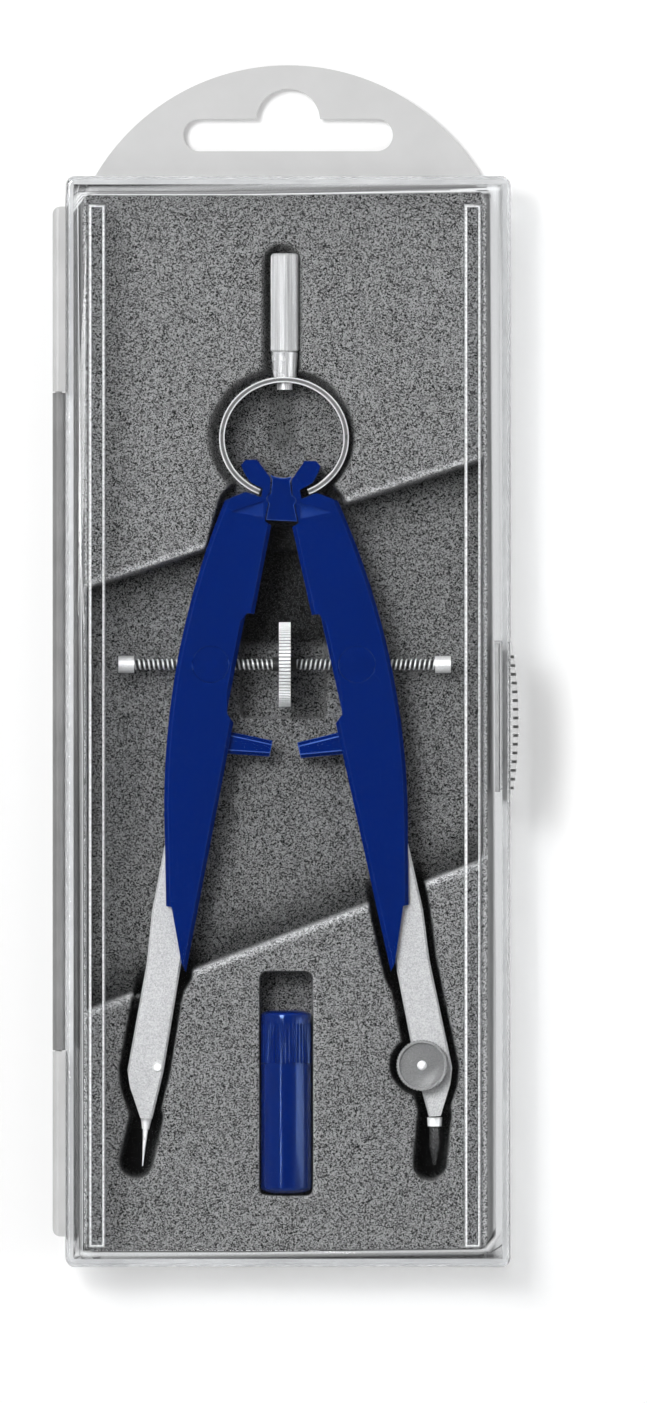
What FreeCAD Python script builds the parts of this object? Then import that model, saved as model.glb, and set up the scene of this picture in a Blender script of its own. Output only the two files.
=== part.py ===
"""Clear hinged hang case with a spring-bow compass and a lead box in a flocked tray.

Millimetres. X runs across the case, Y along it towards the hang tab and Z up through the lid.
The origin is the middle of the base's underside, and the case lies on its back.
"""
import FreeCAD, Part
import Sketcher
import math
import os
import re
import types

Vector = FreeCAD.Vector
Z_AXIS = Vector(0, 0, 1)

# Driving dimensions: cell alias, value in millimetres or degrees, meaning
DIMENSIONS = [
    ("case_width", 80.0, "base and lid, outside, along X"),
    ("case_length", 196.0, "base and lid, outside, along Y"),
    ("case_wall", 1.5, "walls, floor and lid top"),
    ("base_height", 10.4, "top of the base's rim"),
    ("lid_rim", 10.5, "underside of the lid's rim, level with the hinge axis"),
    ("case_height", 21.0, "closed case"),
    ("corner_radius", 1.8, "upright corners of the case"),
    ("edge_radius", 0.9, "rounded edges of floor and lid top"),
    ("hinge_offset", 1.3, "hinge axis outside the side wall"),
    ("hinge_radius", 1.1, "hinge barrel and lugs"),
    ("barrel_length", 118.4, "middle barrel on the base"),
    ("lug_start", 59.4, "inner end of a lid lug from the middle"),
    ("lug_length", 33.3, "lid lug"),
    ("lug_corner", 1.4, "rounded outer corner of a lug"),
    ("pip_radius", 0.6, "hinge pip on a lug"),
    ("pip_length", 1.5, "hinge pip"),
    ("hinge_play", 0.05, "pip in its socket, radial"),
    ("rail_width", 2.0, "hold-down rail under the lid"),
    ("rail_length", 186.4, "hold-down rail"),
    ("rail_left_x", -34.3, "middle of the left rail"),
    ("rail_right_x", 33.2, "middle of the right rail"),
    ("rail_y", -0.8, "middle of both rails"),
    ("rail_gap", 0.15, "rail above the tray"),
    ("grip_length", 28.8, "thumb grip on the lid"),
    ("grip_bulge", 1.4, "thumb grip out of the wall"),
    ("grip_height", 8.2, "thumb grip along Z"),
    ("catch_length", 27.0, "catch tongue inside the lid wall"),
    ("tab_thickness", 0.8, "hang tab sheet"),
    ("tab_radius", 40.3, "round top of the hang tab"),
    ("tab_centre_y", 78.1, "centre of that round top"),
    ("tab_foot_width", 60.0, "foot of the tab in the base wall"),
    ("tab_foot_length", 1.9, "foot of the tab along Y"),
    ("euro_length", 37.8, "euro slot, end to end"),
    ("euro_width", 5.8, "euro slot"),
    ("euro_y", 105.8, "middle line of the euro slot"),
    ("hump_radius", 5.75, "hook hump of the euro slot"),
    ("hump_y", 108.4, "centre of the hump"),
    ("tray_width", 72.9, "insert tray"),
    ("tray_length", 191.2, "insert tray"),
    ("tray_x", -0.65, "middle of the tray"),
    ("tray_y", 0.1, "middle of the tray"),
    ("tray_top", 12.3, "top sheet of the tray"),
    ("tray_sheet", 0.8, "formed sheet"),
    ("tray_corner", 2.0, "upright corners of the tray"),
    ("foot_left", 1.2, "tray's foot flange on the left"),
    ("foot_right", 1.3, "tray's foot flange on the right"),
    ("foot_ends", 0.3, "tray's foot flange at both ends"),
    ("trough_floor", 6.3, "diagonal trough and room for the leg tips"),
    ("arm_floor", 3.0, "slots around the arms and the points"),
    ("ring_floor", 6.4, "pocket under the ring spring and the ears"),
    ("handle_floor", 7.95, "slot under the handle"),
    ("wheel_floor", 2.4, "pocket under the thumbwheel"),
    ("tube_floor", 5.9, "pocket under the lead box tube"),
    ("cap_floor", 5.5, "pocket under the lead box cap"),
    ("seat_top", 8.2, "seats under the metal arms"),
    ("arm_room", 1.1, "slot around an arm"),
    ("point_room", 2.85, "half width of the slot around a point"),
    ("handle_room", 3.8, "half width of the handle's slot"),
    ("handle_end_room", 2.0, "handle's slot beyond the grip"),
    ("ring_room", 2.05, "pocket around the ring spring"),
    ("clamp_room", 0.8, "pocket around the clamp disc"),
    ("box_side_room", 0.25, "pocket beside the lead box"),
    ("box_end_room", 0.4, "pocket below the lead box"),
    ("box_pocket_high", -45.0, "upper end of the lead box pocket"),
    ("mid_height", 10.5, "middle plane of the compass and the lead box"),
    ("handle_x", -0.6, "axis of the handle"),
    ("grip_low_y", 66.4, "lower end of the fluted grip"),
    ("handle_grip_length", 17.8, "fluted grip"),
    ("handle_grip_radius", 2.5, "fluted grip"),
    ("grip_edge", 0.4, "edges of the fluted grip"),
    ("cone_low_y", 62.0, "lower end of the cone"),
    ("cone_low_radius", 2.08, "cone at the ring"),
    ("cone_top_radius", 2.42, "cone at the grip"),
    ("cone_length", 4.4, "cone"),
    ("cone_bore", 1.9, "stud's hole in the cone"),
    ("stud_head_radius", 1.4, "stud head inside the ring"),
    ("stud_head_length", 1.2, "stud head"),
    ("stud_radius", 0.8, "stud through the ring"),
    ("stud_length", 4.2, "stud with its head"),
    ("ring_x", -0.7, "centre of the ring spring"),
    ("ring_y", 51.0, "centre of the ring spring"),
    ("ring_half_width", 11.15, "ring to the middle of its band, along X"),
    ("ring_half_height", 10.5, "ring to the middle of its band, along Y"),
    ("ring_thickness", 0.95, "band of the ring"),
    ("ring_depth", 6.0, "band of the ring along Z"),
    ("ring_end_angle", 23.0, "each ring end from the lowest point"),
    ("leg_thickness", 7.5, "leg moulding along Z"),
    ("leg_chamfer", 0.7, "edges of the leg moulding"),
    ("facet_depth", 0.5, "sunk facet on a leg's head"),
    ("left_angle", 10.8, "left leg from the handle's line"),
    ("right_angle", 12.5, "right leg from the handle's line"),
    ("left_pivot_x", -2.9, "left rocker pivot"),
    ("left_pivot_y", 40.07, "left rocker pivot"),
    ("right_pivot_x", 0.55, "right rocker pivot"),
    ("right_pivot_y", 39.73, "right rocker pivot"),
    ("block_thickness", 6.5, "fulcrum block along Z"),
    ("block_dip_y", 43.8, "lowest point of the block's hollow top"),
    ("rib_radius", 0.9, "rocker rib on the fulcrum block"),
    ("rocker_play", 0.09, "rib in the leg's seat, radial"),
    ("arm_thickness", 4.5, "metal arm along Z"),
    ("arm_chamfer", 0.4, "long edges of a metal arm"),
    ("arm_play", 0.02, "arm in the moulding, on each side"),
    ("nut_radius", 3.25, "swivel nut"),
    ("nut_play", 0.06, "nut in the leg, radial"),
    ("nut_out", 5.2, "swivel nut from the leg's pivot, outwards"),
    ("nut_down", 31.3, "swivel nut from the leg's pivot, down the leg"),
    ("spindle_y", 10.3, "spindle axis"),
    ("spindle_radius", 1.025, "thread over its crests"),
    ("spindle_left_x", -29.6, "left end of the spindle"),
    ("spindle_length", 58.0, "spindle"),
    ("nut_bore_radius", 1.3, "spindle's way through a nut"),
    ("leg_bore_radius", 1.7, "spindle's way through a leg"),
    ("leg_bore_length", 24.0, "tool for that way"),
    ("end_cap_radius", 1.52, "spindle end cap"),
    ("end_cap_length", 2.8, "spindle end cap"),
    ("end_cap_bore", 2.0, "depth of the cap's hole"),
    ("wheel_x", -0.56, "middle of the thumbwheel"),
    ("wheel_radius", 7.6, "thumbwheel"),
    ("wheel_thickness", 2.1, "thumbwheel rim"),
    ("hub_radius", 1.35, "thumbwheel hub"),
    ("hub_length", 4.3, "thumbwheel hub"),
    ("lever_thickness", 4.2, "release lever along Z"),
    ("lever_chamfer", 0.7, "long edges of a release lever"),
    ("lever_side_play", 0.1, "lever to each side of its pocket"),
    ("lever_pin_radius", 0.8, "lever pin"),
    ("lever_pin_length", 6.0, "lever pin"),
    ("lever_pin_play", 0.06, "lever on its pin, radial"),
    ("lever_out", 3.4, "lever pin from the leg's pivot, outwards"),
    ("lever_down", 44.6, "lever pin from the leg's pivot, down the leg"),
    ("leaf_thickness", 0.2, "lever's leaf spring"),
    ("leaf_width", 3.0, "lever's leaf spring along Z"),
    ("screw_out", 1.0, "rivet or clamp screw from the leg's pivot, outwards"),
    ("screw_down", 104.2, "rivet or clamp screw from the leg's pivot, down the leg"),
    ("rivet_radius", 0.8, "needle rivet"),
    ("rivet_head_radius", 0.95, "needle rivet's head"),
    ("rivet_head", 0.3, "needle rivet's head above the arm"),
    ("clamp_radius", 4.6, "clamp screw's disc"),
    ("clamp_disc", 2.4, "clamp screw's disc"),
    ("clamp_gap", 0.15, "clamp disc above the arm"),
    ("clamp_shank_radius", 0.8, "clamp screw's shank"),
    ("clamp_shank", 5.6, "clamp screw's shank below the disc"),
    ("clamp_rim_radius", 4.05, "inside of the disc's raised rim"),
    ("clamp_recess", 0.35, "face of the disc below its rim"),
    ("clamp_boss_radius", 0.85, "riveted shank end in the disc's middle"),
    ("clamp_boss_edge", 0.3, "chamfer of that end"),
    ("shank_play", 0.06, "clamp shank in the arm, radial"),
    ("point_out", 1.25, "where a point leaves its arm, outwards"),
    ("point_down", 113.5, "where a point leaves its arm, down the leg"),
    ("needle_tip_out", 0.3, "needle tip, outwards"),
    ("needle_tip_down", 122.2, "needle tip, down the leg"),
    ("collar_radius", 1.0, "needle collar"),
    ("collar_tip_radius", 0.65, "needle collar's lower end"),
    ("collar_sunk", 5.5, "needle collar inside the arm"),
    ("collar_length", 7.6, "needle collar"),
    ("collar_bore", 0.74, "where the needle's hole begins in the collar"),
    ("needle_radius", 0.5, "needle"),
    ("needle_tip_radius", 0.06, "needle tip"),
    ("needle_straight", 6.5, "straight part of the needle"),
    ("needle_length", 13.5, "needle"),
    ("lead_radius", 1.0, "lead, 2 mm"),
    ("lead_play", 0.06, "lead in sleeve and arm, radial"),
    ("lead_sunk", 6.6, "lead inside the arm"),
    ("lead_straight", 12.2, "lead above its point"),
    ("lead_length", 15.5, "lead"),
    ("lead_point_radius", 0.25, "lead point"),
    ("sleeve_radius", 1.35, "lead sleeve"),
    ("sleeve_tip_radius", 1.25, "lead sleeve's lower end"),
    ("sleeve_length", 1.6, "lead sleeve below the arm"),
    ("sleeve_drop", 0.35, "lead sleeve below the arm's end"),
    ("box_x", -0.3, "axis of the lead box"),
    ("box_low_y", -84.8, "lower end of the lead box"),
    ("box_radius", 4.57, "lead box"),
    ("box_edge", 0.5, "edges of the lead box"),
    ("tube_length", 23.3, "lead box tube without its neck"),
    ("neck_radius", 3.9, "neck of the tube"),
    ("neck_length", 6.0, "neck of the tube"),
    ("tube_bore", 3.3, "inside radius of the tube"),
    ("tube_bottom", 1.2, "end wall of the tube"),
    ("cap_gap", 0.1, "cap above the tube's shoulder"),
    ("cap_length", 9.5, "lead box cap"),
    ("cap_bore", 3.96, "inside radius of the cap"),
    ("cap_depth", 6.6, "inside depth of the cap"),
    ("spare_length", 22.0, "spare lead"),
    ("spare_circle", 1.9, "circle of the spare leads"),
]

# Leg moulding in its own frame: millimetres outwards and down the leg from the rocker pivot
LEG_INNER = [
    (-0.8, 86.5), (-0.8, 40.8), (0.6, 39.6), (0.75, 38.9), (0.75, 21.5), (0.45, 20.95), (-0.8, 20.9),
    (-0.8, 4.7), (0.5, 4.25),
]
LEG_EAR = [(0.9, -3.6), (3.9, -6.4), (6.0, -5.95), (6.5, -4.9), (5.9, -3.9), (4.4, -2.25), (1.9, -1.5)]
LEG_SHOULDER = [(1.9, 0.15), (4.8, -0.35), (8.2, 1.9)]
LEG_FLANK = [(11.0, 24.0), (7.4, 63.6)]
LEG_STEP = [(4.9, 75.5), (3.9, 75.5), (0.3, 85.0)]
LEG_FACET = [(1.5, 0.7), (6.65, 3.57), (0.95, 3.45)]
SEAT_CHORD_OUT = 0.5
LONG_EDGE = 11.0

# Fulcrum block in the frame of the leg beside it, from its foot up to its horn
BLOCK_FOOT = (0.3, 3.9)
BLOCK_SIDE_OUT = 0.3
BLOCK_NECK = (0.55, -3.4)
BLOCK_HORN = (1.05, -4.2)

# Release lever, its room in the moulding and its leaf spring, in the leg's frame
LEVER_HEAD = [(-8.3, 42.7), (3.4, 42.4)]
LEVER_ROUND = (5.6, 44.6)
LEVER_TAIL = [(3.4, 46.8), (-1.0, 46.5), (-8.3, 45.6)]
LEVER_LONG_EDGE = 7.2
ROOM_HEAD = [(-2.0, 42.2), (3.4, 42.0)]
ROOM_ROUND = (6.0, 44.6)
ROOM_TAIL = [(3.4, 47.2), (-2.0, 47.6)]
LEAF_ENDS = [(2.9, 46.98), (-0.6, 46.75)]

# Metal arm, its upper end inside the moulding
ARM_OUTLINE = [
    (1.0, 58.0), (6.2, 58.0), (7.2, 65.0), (7.2, 77.0), (6.4, 86.0), (6.2, 105.8),
    (5.2, 108.6), (2.3, 113.8), (0.2, 113.5), (-0.2, 105.0), (0.4, 85.0),
]

# Tray around a leg: room for the moulding's tip, and the seat that carries the arm
LEG_TIP_ROOM = [(-1.9, 62.0), (-1.9, 87.6), (2.0, 88.6), (8.4, 77.0), (9.0, 62.0)]
ARM_SEAT = [(-1.2, 92.0), (7.4, 92.0), (7.4, 95.0), (-1.2, 95.0)]

# Plan of the tray, in X and Y
TROUGH_PLAN = [(-36.1, 23.9), (34.8, 47.1), (34.8, -24.8), (-36.1, -51.8)]
HEAD_ROOM = [(-17.0, 28.0), (-12.6, 40.3), (-9.5, 44.0), (8.0, 44.0), (11.1, 40.2), (15.5, 28.0)]
WHEEL_ROOM = [(-8.5, 0.5), (7.0, 0.5), (7.0, 31.0), (-8.5, 31.0)]
LEFT_SLOT_END = (-26.9, -79.0)
RIGHT_SLOT_END = (25.8, -79.35)

# Catch tongue: inwards from the base's inner wall and up from its rim, foot first
CATCH_FOOT = -4.6
CATCH_TONGUE = [(1.3, -3.0), (1.3, 2.8), (0.5, 2.8), (0.2, 2.1), (0.35, 1.4), (0.35, -0.4)]

# Grooves of each gripped surface: count, depth and half width
GRIP_FLUTES = (24, 0.22, 0.36)
WHEEL_FLUTES = (72, 0.28, 0.4)
CLAMP_FLUTES = (48, 0.2, 0.34)
CAP_FLUTES = (40, 0.18, 0.32)

SPARE_LEADS = 3
HALF_TURN_SHARE = math.sqrt(0.5)
UPRIGHT_LENGTH = 5.0
SMALL = 0.01

doc = FreeCAD.newDocument("instrument_case")


def make_sheet(rows):
    """Spreadsheet with one driving dimension in each row."""
    sheet = doc.addObject("Spreadsheet::Sheet", "Dims")
    for row, (alias, value, meaning) in enumerate(rows, start=1):
        sheet.set(f"A{row}", meaning)
        sheet.set(f"B{row}", str(value))
        sheet.setAlias(f"B{row}", alias)
    doc.recompute()
    return sheet


dims_sheet = make_sheet(DIMENSIONS)
dim = types.SimpleNamespace(**{alias: float(dims_sheet.get(alias)) for alias, _, _ in DIMENSIONS})


def cells(text):
    """Expression whose words are cells of the sheet."""
    return re.sub(r"\b[a-z]\w*", r"Dims.\g<0>", text)


def new_body(label):
    body = doc.addObject("PartDesign::Body", label)
    body.Label = label
    return body


def origin_feature(body, role):
    return next(item for item in body.Origin.OriginFeatures if item.Role == role)


def new_sketch(body, role="XY_Plane", height=None):
    """Sketch on one of the body's own planes, raised along its normal by cells of the sheet."""
    sketch = body.newObject("Sketcher::SketchObject", body.Name + "_sketch")
    sketch.AttachmentSupport = [(origin_feature(body, role), "")]
    sketch.MapMode = "FlatFace"
    if height:
        sketch.setExpression("AttachmentOffset.Base.z", cells(height))
    return sketch


def bind_datum(sketch, constraint, text):
    index = sketch.addConstraint(constraint)
    sketch.setExpression(f"Constraints[{index}]", cells(text))


def draw_rectangle(sketch, width, length, x="", y=""):
    """Rectangle about a middle point; all four texts name cells, and an empty one is zero."""
    corners = [Vector(-1, -1, 0), Vector(1, -1, 0), Vector(1, 1, 0), Vector(-1, 1, 0)]
    sides = [Part.LineSegment(corners[i], corners[(i + 1) % 4]) for i in range(4)]
    first = sketch.addGeometry(sides, False)[0]
    for i in range(4):
        sketch.addConstraint(Sketcher.Constraint("Coincident", first + i, 2, first + (i + 1) % 4, 1))
        sketch.addConstraint(Sketcher.Constraint("Vertical" if i % 2 else "Horizontal", first + i))
    middle = sketch.addGeometry(Part.Point(Vector(0, 0, 0)), True)
    sketch.addConstraint(Sketcher.Constraint("Symmetric", first, 1, first + 2, 1, middle, 1))
    bind_datum(sketch, Sketcher.Constraint("DistanceX", first, 1, first, 2, 2.0), width)
    bind_datum(sketch, Sketcher.Constraint("DistanceY", first + 1, 1, first + 1, 2, 2.0), length)
    hold_point(sketch, middle, 1, x, y)


def hold_point(sketch, geometry, point, x, y):
    """Tie a point to places named by cells, measured from the sketch's origin."""
    for kind, axis, text in (("DistanceX", -2, x), ("DistanceY", -1, y)):
        if text:
            bind_datum(sketch, Sketcher.Constraint(kind, -1, 1, geometry, point, 1.0), text)
        else:
            sketch.addConstraint(Sketcher.Constraint("PointOnObject", geometry, point, axis))


def draw_circle(sketch, radius, x="", y=""):
    circle = sketch.addGeometry(Part.Circle(Vector(0, 0, 0), Z_AXIS, 1.0), False)
    bind_datum(sketch, Sketcher.Constraint("Radius", circle, 1.0), radius)
    hold_point(sketch, circle, 3, x, y)


def curve_edges(start, steps):
    """Closed run of edges; a step is the next corner, or a pair of a point on an arc and its end."""
    here = start
    edges = []
    for step in list(steps) + [start]:
        if isinstance(step[0], tuple):
            via, end = step
            edges.append(Part.Arc(Vector(*here), Vector(*via), Vector(*end)))
        elif step != here:
            end = step
            edges.append(Part.LineSegment(Vector(*here), Vector(*end)))
        here = end
    return edges


def draw_outline(sketch, start, steps):
    edges = curve_edges(start, steps)
    first = sketch.addGeometry(edges, False)[0]
    for i in range(len(edges)):
        sketch.addConstraint(Sketcher.Constraint("Block", first + i))


def pad(body, sketch, length, symmetric=False, reverse=False):
    feature = body.newObject("PartDesign::Pad", body.Name + "_pad")
    return set_extent(feature, sketch, length, symmetric, reverse)


def pocket(body, sketch, length, symmetric=False, reverse=False):
    """Pocket that has to take material away."""
    doc.recompute()
    before = body.Shape.Volume
    feature = body.newObject("PartDesign::Pocket", body.Name + "_pocket")
    set_extent(feature, sketch, length, symmetric, reverse)
    doc.recompute()
    if body.Shape.Volume >= before:
        raise RuntimeError(f"{body.Label}: a pocket cuts nothing")
    return feature


def set_extent(feature, sketch, length, symmetric, reverse):
    feature.Profile = sketch
    feature.setExpression("Length", cells(length))
    feature.SideType = "Symmetric" if symmetric else "One side"
    feature.Reversed = reverse
    sketch.Visibility = False
    return feature


def dress_edges(body, kind, size, wanted):
    """Fillet or chamfer on the edges of the body's last feature that the test picks."""
    doc.recompute()
    base = body.Tip
    names = [f"Edge{i}" for i, edge in enumerate(base.Shape.Edges, start=1) if wanted(edge)]
    feature = body.newObject("PartDesign::" + kind, body.Name + "_" + kind.lower())
    feature.Base = (base, names)
    feature.setExpression("Radius" if kind == "Fillet" else "Size", cells(size))
    doc.recompute()
    return feature


def upright(edge):
    box = edge.BoundBox
    return box.ZLength > UPRIGHT_LENGTH and box.XLength < SMALL and box.YLength < SMALL


def at_height(height):
    return lambda edge: abs(edge.BoundBox.ZMin - height) < SMALL and edge.BoundBox.ZLength < SMALL


def long_rim_edge(thickness, length):
    """Test for edges over a length on either face of a plate about the XY plane."""
    def wanted(edge):
        box = edge.BoundBox
        on_face = box.ZLength < SMALL and abs(abs(box.ZMin) - thickness / 2) < SMALL
        return on_face and edge.Length > length
    return wanted


def turned(label, profile):
    """Body of revolution about its own Z axis; the profile's texts name radius and height cells."""
    body = new_body(label)
    sketch = new_sketch(body, "XZ_Plane")
    count = len(profile)
    spread = [Vector(math.cos(i), i, 0) for i in range(count)]
    lines = [Part.LineSegment(spread[i], spread[(i + 1) % count]) for i in range(count)]
    sketch.addGeometry(lines, False)
    for i in range(count):
        sketch.addConstraint(Sketcher.Constraint("Coincident", i, 2, (i + 1) % count, 1))
    for i, (radius, height) in enumerate(profile):
        hold_point(sketch, i, 1, radius, height)
    doc.recompute()
    feature = body.newObject("PartDesign::Revolution", body.Name + "_turned")
    feature.Profile = sketch
    feature.ReferenceAxis = (sketch, ["V_Axis"])
    feature.Angle = 360.0
    sketch.Visibility = False
    doc.recompute()
    return body


def cut_flutes(body, flutes, radius, top, length):
    """Ring of V grooves along the body's Z axis; top and length name cells."""
    count, depth, width = flutes
    rim = radius + depth
    sketch = new_sketch(body, "XY_Plane", top)
    draw_outline(sketch, (radius - depth, 0, 0), [(rim, -width, 0), (rim, width, 0)])
    groove = pocket(body, sketch, length)
    pattern = body.newObject("PartDesign::PolarPattern", body.Name + "_flutes")
    pattern.Originals = [groove]
    pattern.Axis = (origin_feature(body, "Z_Axis"), [""])
    pattern.Angle = 360.0
    pattern.Occurrences = count
    body.Tip = pattern
    doc.recompute()


def stand(item, base, direction=Z_AXIS):
    """Put an item's own Z axis along a direction from a base point."""
    item.Placement = FreeCAD.Placement(Vector(*base), FreeCAD.Rotation(Z_AXIS, Vector(*direction)))
    return item


def cut(label, base, tools):
    """Boolean cut of a base by one or more tools, which becomes the sub-part."""
    tool = tools[0]
    if len(tools) > 1:
        tool = doc.addObject("Part::MultiFuse", label + "_tools")
        tool.Shapes = tools
    result = doc.addObject("Part::Cut", label)
    result.Base = base
    result.Tool = tool
    result.Label = label
    return result


def rod(name, radius, length, base, direction):
    """Plain cylinder bound to the sheet."""
    cylinder = doc.addObject("Part::Cylinder", name)
    cylinder.setExpression("Radius", cells(radius))
    cylinder.setExpression("Height", cells(length))
    return stand(cylinder, base, direction)


class Leg:
    """Frame of one leg: side is -1 on the left and +1 on the right."""

    def __init__(self, name, side, pivot_x, pivot_y, angle):
        self.name = name
        self.side = side
        self.pivot = Vector(pivot_x, pivot_y, dim.mid_height)
        self.turn = FreeCAD.Rotation(Z_AXIS, side * angle)
        self.placement = FreeCAD.Placement(self.pivot, self.turn)

    def local(self, out, down):
        return (self.side * out, -down, 0)

    def world(self, out, down):
        return self.placement.multVec(Vector(*self.local(out, down)))

    def points(self, pairs):
        return [self.local(*pair) for pair in pairs]

    def plan(self, out, down):
        """Point over the case, at height zero."""
        point = self.world(out, down)
        return (point.x, point.y, 0)

    def rounded(self, head, via, tail):
        """Outline whose head runs through one point of a round end into its tail."""
        start, before = self.points(head)
        after, *rest = self.points(tail)
        return start, [before, (self.local(*via), after), *rest]


LEFT = Leg("left", -1, dim.left_pivot_x, dim.left_pivot_y, dim.left_angle)
RIGHT = Leg("right", 1, dim.right_pivot_x, dim.right_pivot_y, dim.right_angle)


def barrel_profile(above):
    """Hinge barrel with a web to the side wall, above or below the axis, in X and Z."""
    wall = -dim.case_width / 2
    axis = wall - dim.hinge_offset
    radius = dim.hinge_radius
    up = 1 if above else -1
    root = wall + dim.case_wall / 5
    web_rise = 0.2
    web_x = axis + math.sqrt(radius**2 - web_rise**2)
    slope = axis - root
    steps = [
        (web_x, dim.lid_rim + up * web_rise, 0),
        ((axis - radius, dim.lid_rim, 0), (axis, dim.lid_rim + up * radius, 0)),
        (root, dim.lid_rim + up * (radius - slope), 0),
    ]
    return (root, dim.lid_rim + up * web_rise, 0), steps


def mirror_along_y(body, features):
    mirrored = body.newObject("PartDesign::Mirrored", body.Name + "_mirrored")
    mirrored.Originals = features
    mirrored.MirrorPlane = (origin_feature(body, "XZ_Plane"), [""])
    body.Tip = mirrored
    doc.recompute()


HINGE_X = "-(case_width / 2 + hinge_offset)"


def make_case_base():
    body = new_body("case_base")
    outline = new_sketch(body)
    draw_rectangle(outline, "case_width", "case_length")
    pad(body, outline, "base_height")
    dress_edges(body, "Fillet", "corner_radius", upright)
    dress_edges(body, "Fillet", "edge_radius", at_height(0))
    cavity = new_sketch(body, height="base_height")
    draw_rectangle(cavity, "case_width - 2 * case_wall", "case_length - 2 * case_wall")
    pocket(body, cavity, "base_height - case_wall")

    catch = new_sketch(body, "XZ_Plane")
    inside = dim.case_width / 2 - dim.case_wall
    root = inside + dim.case_wall / 5
    tongue = [(inside - inwards, dim.base_height + up, 0) for inwards, up in CATCH_TONGUE]
    draw_outline(catch, (root, dim.base_height + CATCH_FOOT, 0), tongue + [(root, tongue[-1][1], 0)])
    pad(body, catch, "catch_length", symmetric=True)

    barrel = new_sketch(body, "XZ_Plane")
    draw_outline(barrel, *barrel_profile(above=False))
    pad(body, barrel, "barrel_length", symmetric=True)

    slit = new_sketch(body, "XZ_Plane", "-case_length / 2")
    draw_rectangle(slit, "tab_foot_width", "tab_thickness", y="case_wall + tab_thickness / 2")
    pocket(body, slit, "case_wall", reverse=True)

    socket = new_sketch(body, "XZ_Plane", "barrel_length / 2")
    draw_circle(socket, "pip_radius + hinge_play", HINGE_X, "lid_rim")
    mirror_along_y(body, [pocket(body, socket, "pip_length + 4 * hinge_play")])
    return body


def make_case_lid():
    body = new_body("case_lid")
    outline = new_sketch(body, height="lid_rim")
    draw_rectangle(outline, "case_width", "case_length")
    pad(body, outline, "case_height - lid_rim")
    dress_edges(body, "Fillet", "corner_radius", upright)
    dress_edges(body, "Fillet", "edge_radius", at_height(dim.case_height))
    cavity = new_sketch(body, height="lid_rim")
    draw_rectangle(cavity, "case_width - 2 * case_wall", "case_length - 2 * case_wall")
    pocket(body, cavity, "case_height - lid_rim - case_wall", reverse=True)

    for rail_x in ("rail_left_x", "rail_right_x"):
        rail = new_sketch(body, height="tray_top + rail_gap")
        draw_rectangle(rail, "rail_width", "rail_length", rail_x, "rail_y")
        pad(body, rail, "case_height - case_wall / 2 - tray_top - rail_gap")

    grip = new_sketch(body, height="lid_rim + case_wall / 3")
    wall = dim.case_width / 2
    half = dim.grip_length / 2
    root = wall - dim.case_wall / 5
    shoulder = wall + dim.grip_bulge / 7
    draw_outline(grip, (root, -half, 0), [
        (shoulder, -half, 0), ((wall + dim.grip_bulge, 0, 0), (shoulder, half, 0)), (root, half, 0),
    ])
    pad(body, grip, "grip_height")

    lug = new_sketch(body, "XZ_Plane", "lug_start")
    draw_outline(lug, *barrel_profile(above=True))
    lug_pad = pad(body, lug, "lug_length")
    pip = new_sketch(body, "XZ_Plane", "lug_start")
    draw_circle(pip, "pip_radius", HINGE_X, "lid_rim")
    pip_pad = pad(body, pip, "pip_length", reverse=True)
    mirror_along_y(body, [lug_pad, pip_pad, round_lug_corner(body)])
    return body


def round_lug_corner(body):
    """Outer corner of the lug that is drawn first, rounded in plan."""
    radius = dim.lug_corner
    side = -dim.case_width / 2 - dim.hinge_offset - dim.hinge_radius
    end = -dim.lug_start - dim.lug_length
    bend = radius * (1 - HALF_TURN_SHARE)
    corner = new_sketch(body, height="case_height")
    draw_outline(corner, (side - radius, end - radius, 0), [
        (side + radius, end - radius, 0), (side + radius, end, 0),
        ((side + bend, end + bend, 0), (side, end + radius, 0)), (side - radius, end + radius, 0),
    ])
    return pocket(body, corner, "case_height")


def make_hang_tab():
    body = new_body("hang_tab")
    edge = dim.case_length / 2
    foot = dim.tab_foot_width / 2
    foot_end = edge - dim.tab_foot_length
    chord = math.sqrt(dim.tab_radius**2 - (edge - dim.tab_centre_y) ** 2)
    top = dim.tab_centre_y + dim.tab_radius
    outline = new_sketch(body, height="case_wall")
    draw_outline(outline, (-foot, foot_end, 0), [
        (foot, foot_end, 0), (foot, edge, 0), (chord, edge, 0),
        ((0, top, 0), (-chord, edge, 0)), (-foot, edge, 0),
    ])
    pad(body, outline, "tab_thickness")

    half_width = dim.euro_width / 2
    end = dim.euro_length / 2
    straight = end - half_width
    low = dim.euro_y - half_width
    high = dim.euro_y + half_width
    hump = math.sqrt(dim.hump_radius**2 - (high - dim.hump_y) ** 2)
    slot = new_sketch(body, height="case_wall + tab_thickness")
    draw_outline(slot, (-straight, low, 0), [
        (straight, low, 0), ((end, dim.euro_y, 0), (straight, high, 0)), (hump, high, 0),
        ((0, dim.hump_y + dim.hump_radius, 0), (-hump, high, 0)), (-straight, high, 0),
        ((-end, dim.euro_y, 0), (-straight, low, 0)),
    ])
    pocket(body, slot, "tab_thickness")
    return body


def flat_face(start, steps):
    return Part.Face(Part.Wire([edge.toShape() for edge in curve_edges(start, steps)]))


def disc_face(x, y, radius):
    return Part.Face(Part.Wire([Part.Circle(Vector(x, y, 0), Z_AXIS, radius).toShape()]))


def stadium_face(a, b, radius):
    """Round-ended strip from one centre to another."""
    along = (b - a).normalize()
    across = Vector(-along.y, along.x, 0) * radius
    tip = along * radius
    return flat_face(tuple(a + across), [
        tuple(b + across), (tuple(b + tip), tuple(b - across)), tuple(a - across),
        (tuple(a - tip), tuple(a + across)),
    ])


def box_face(left, right, low, high):
    return flat_face((left, low, 0), [(right, low, 0), (right, high, 0), (left, high, 0)])


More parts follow.
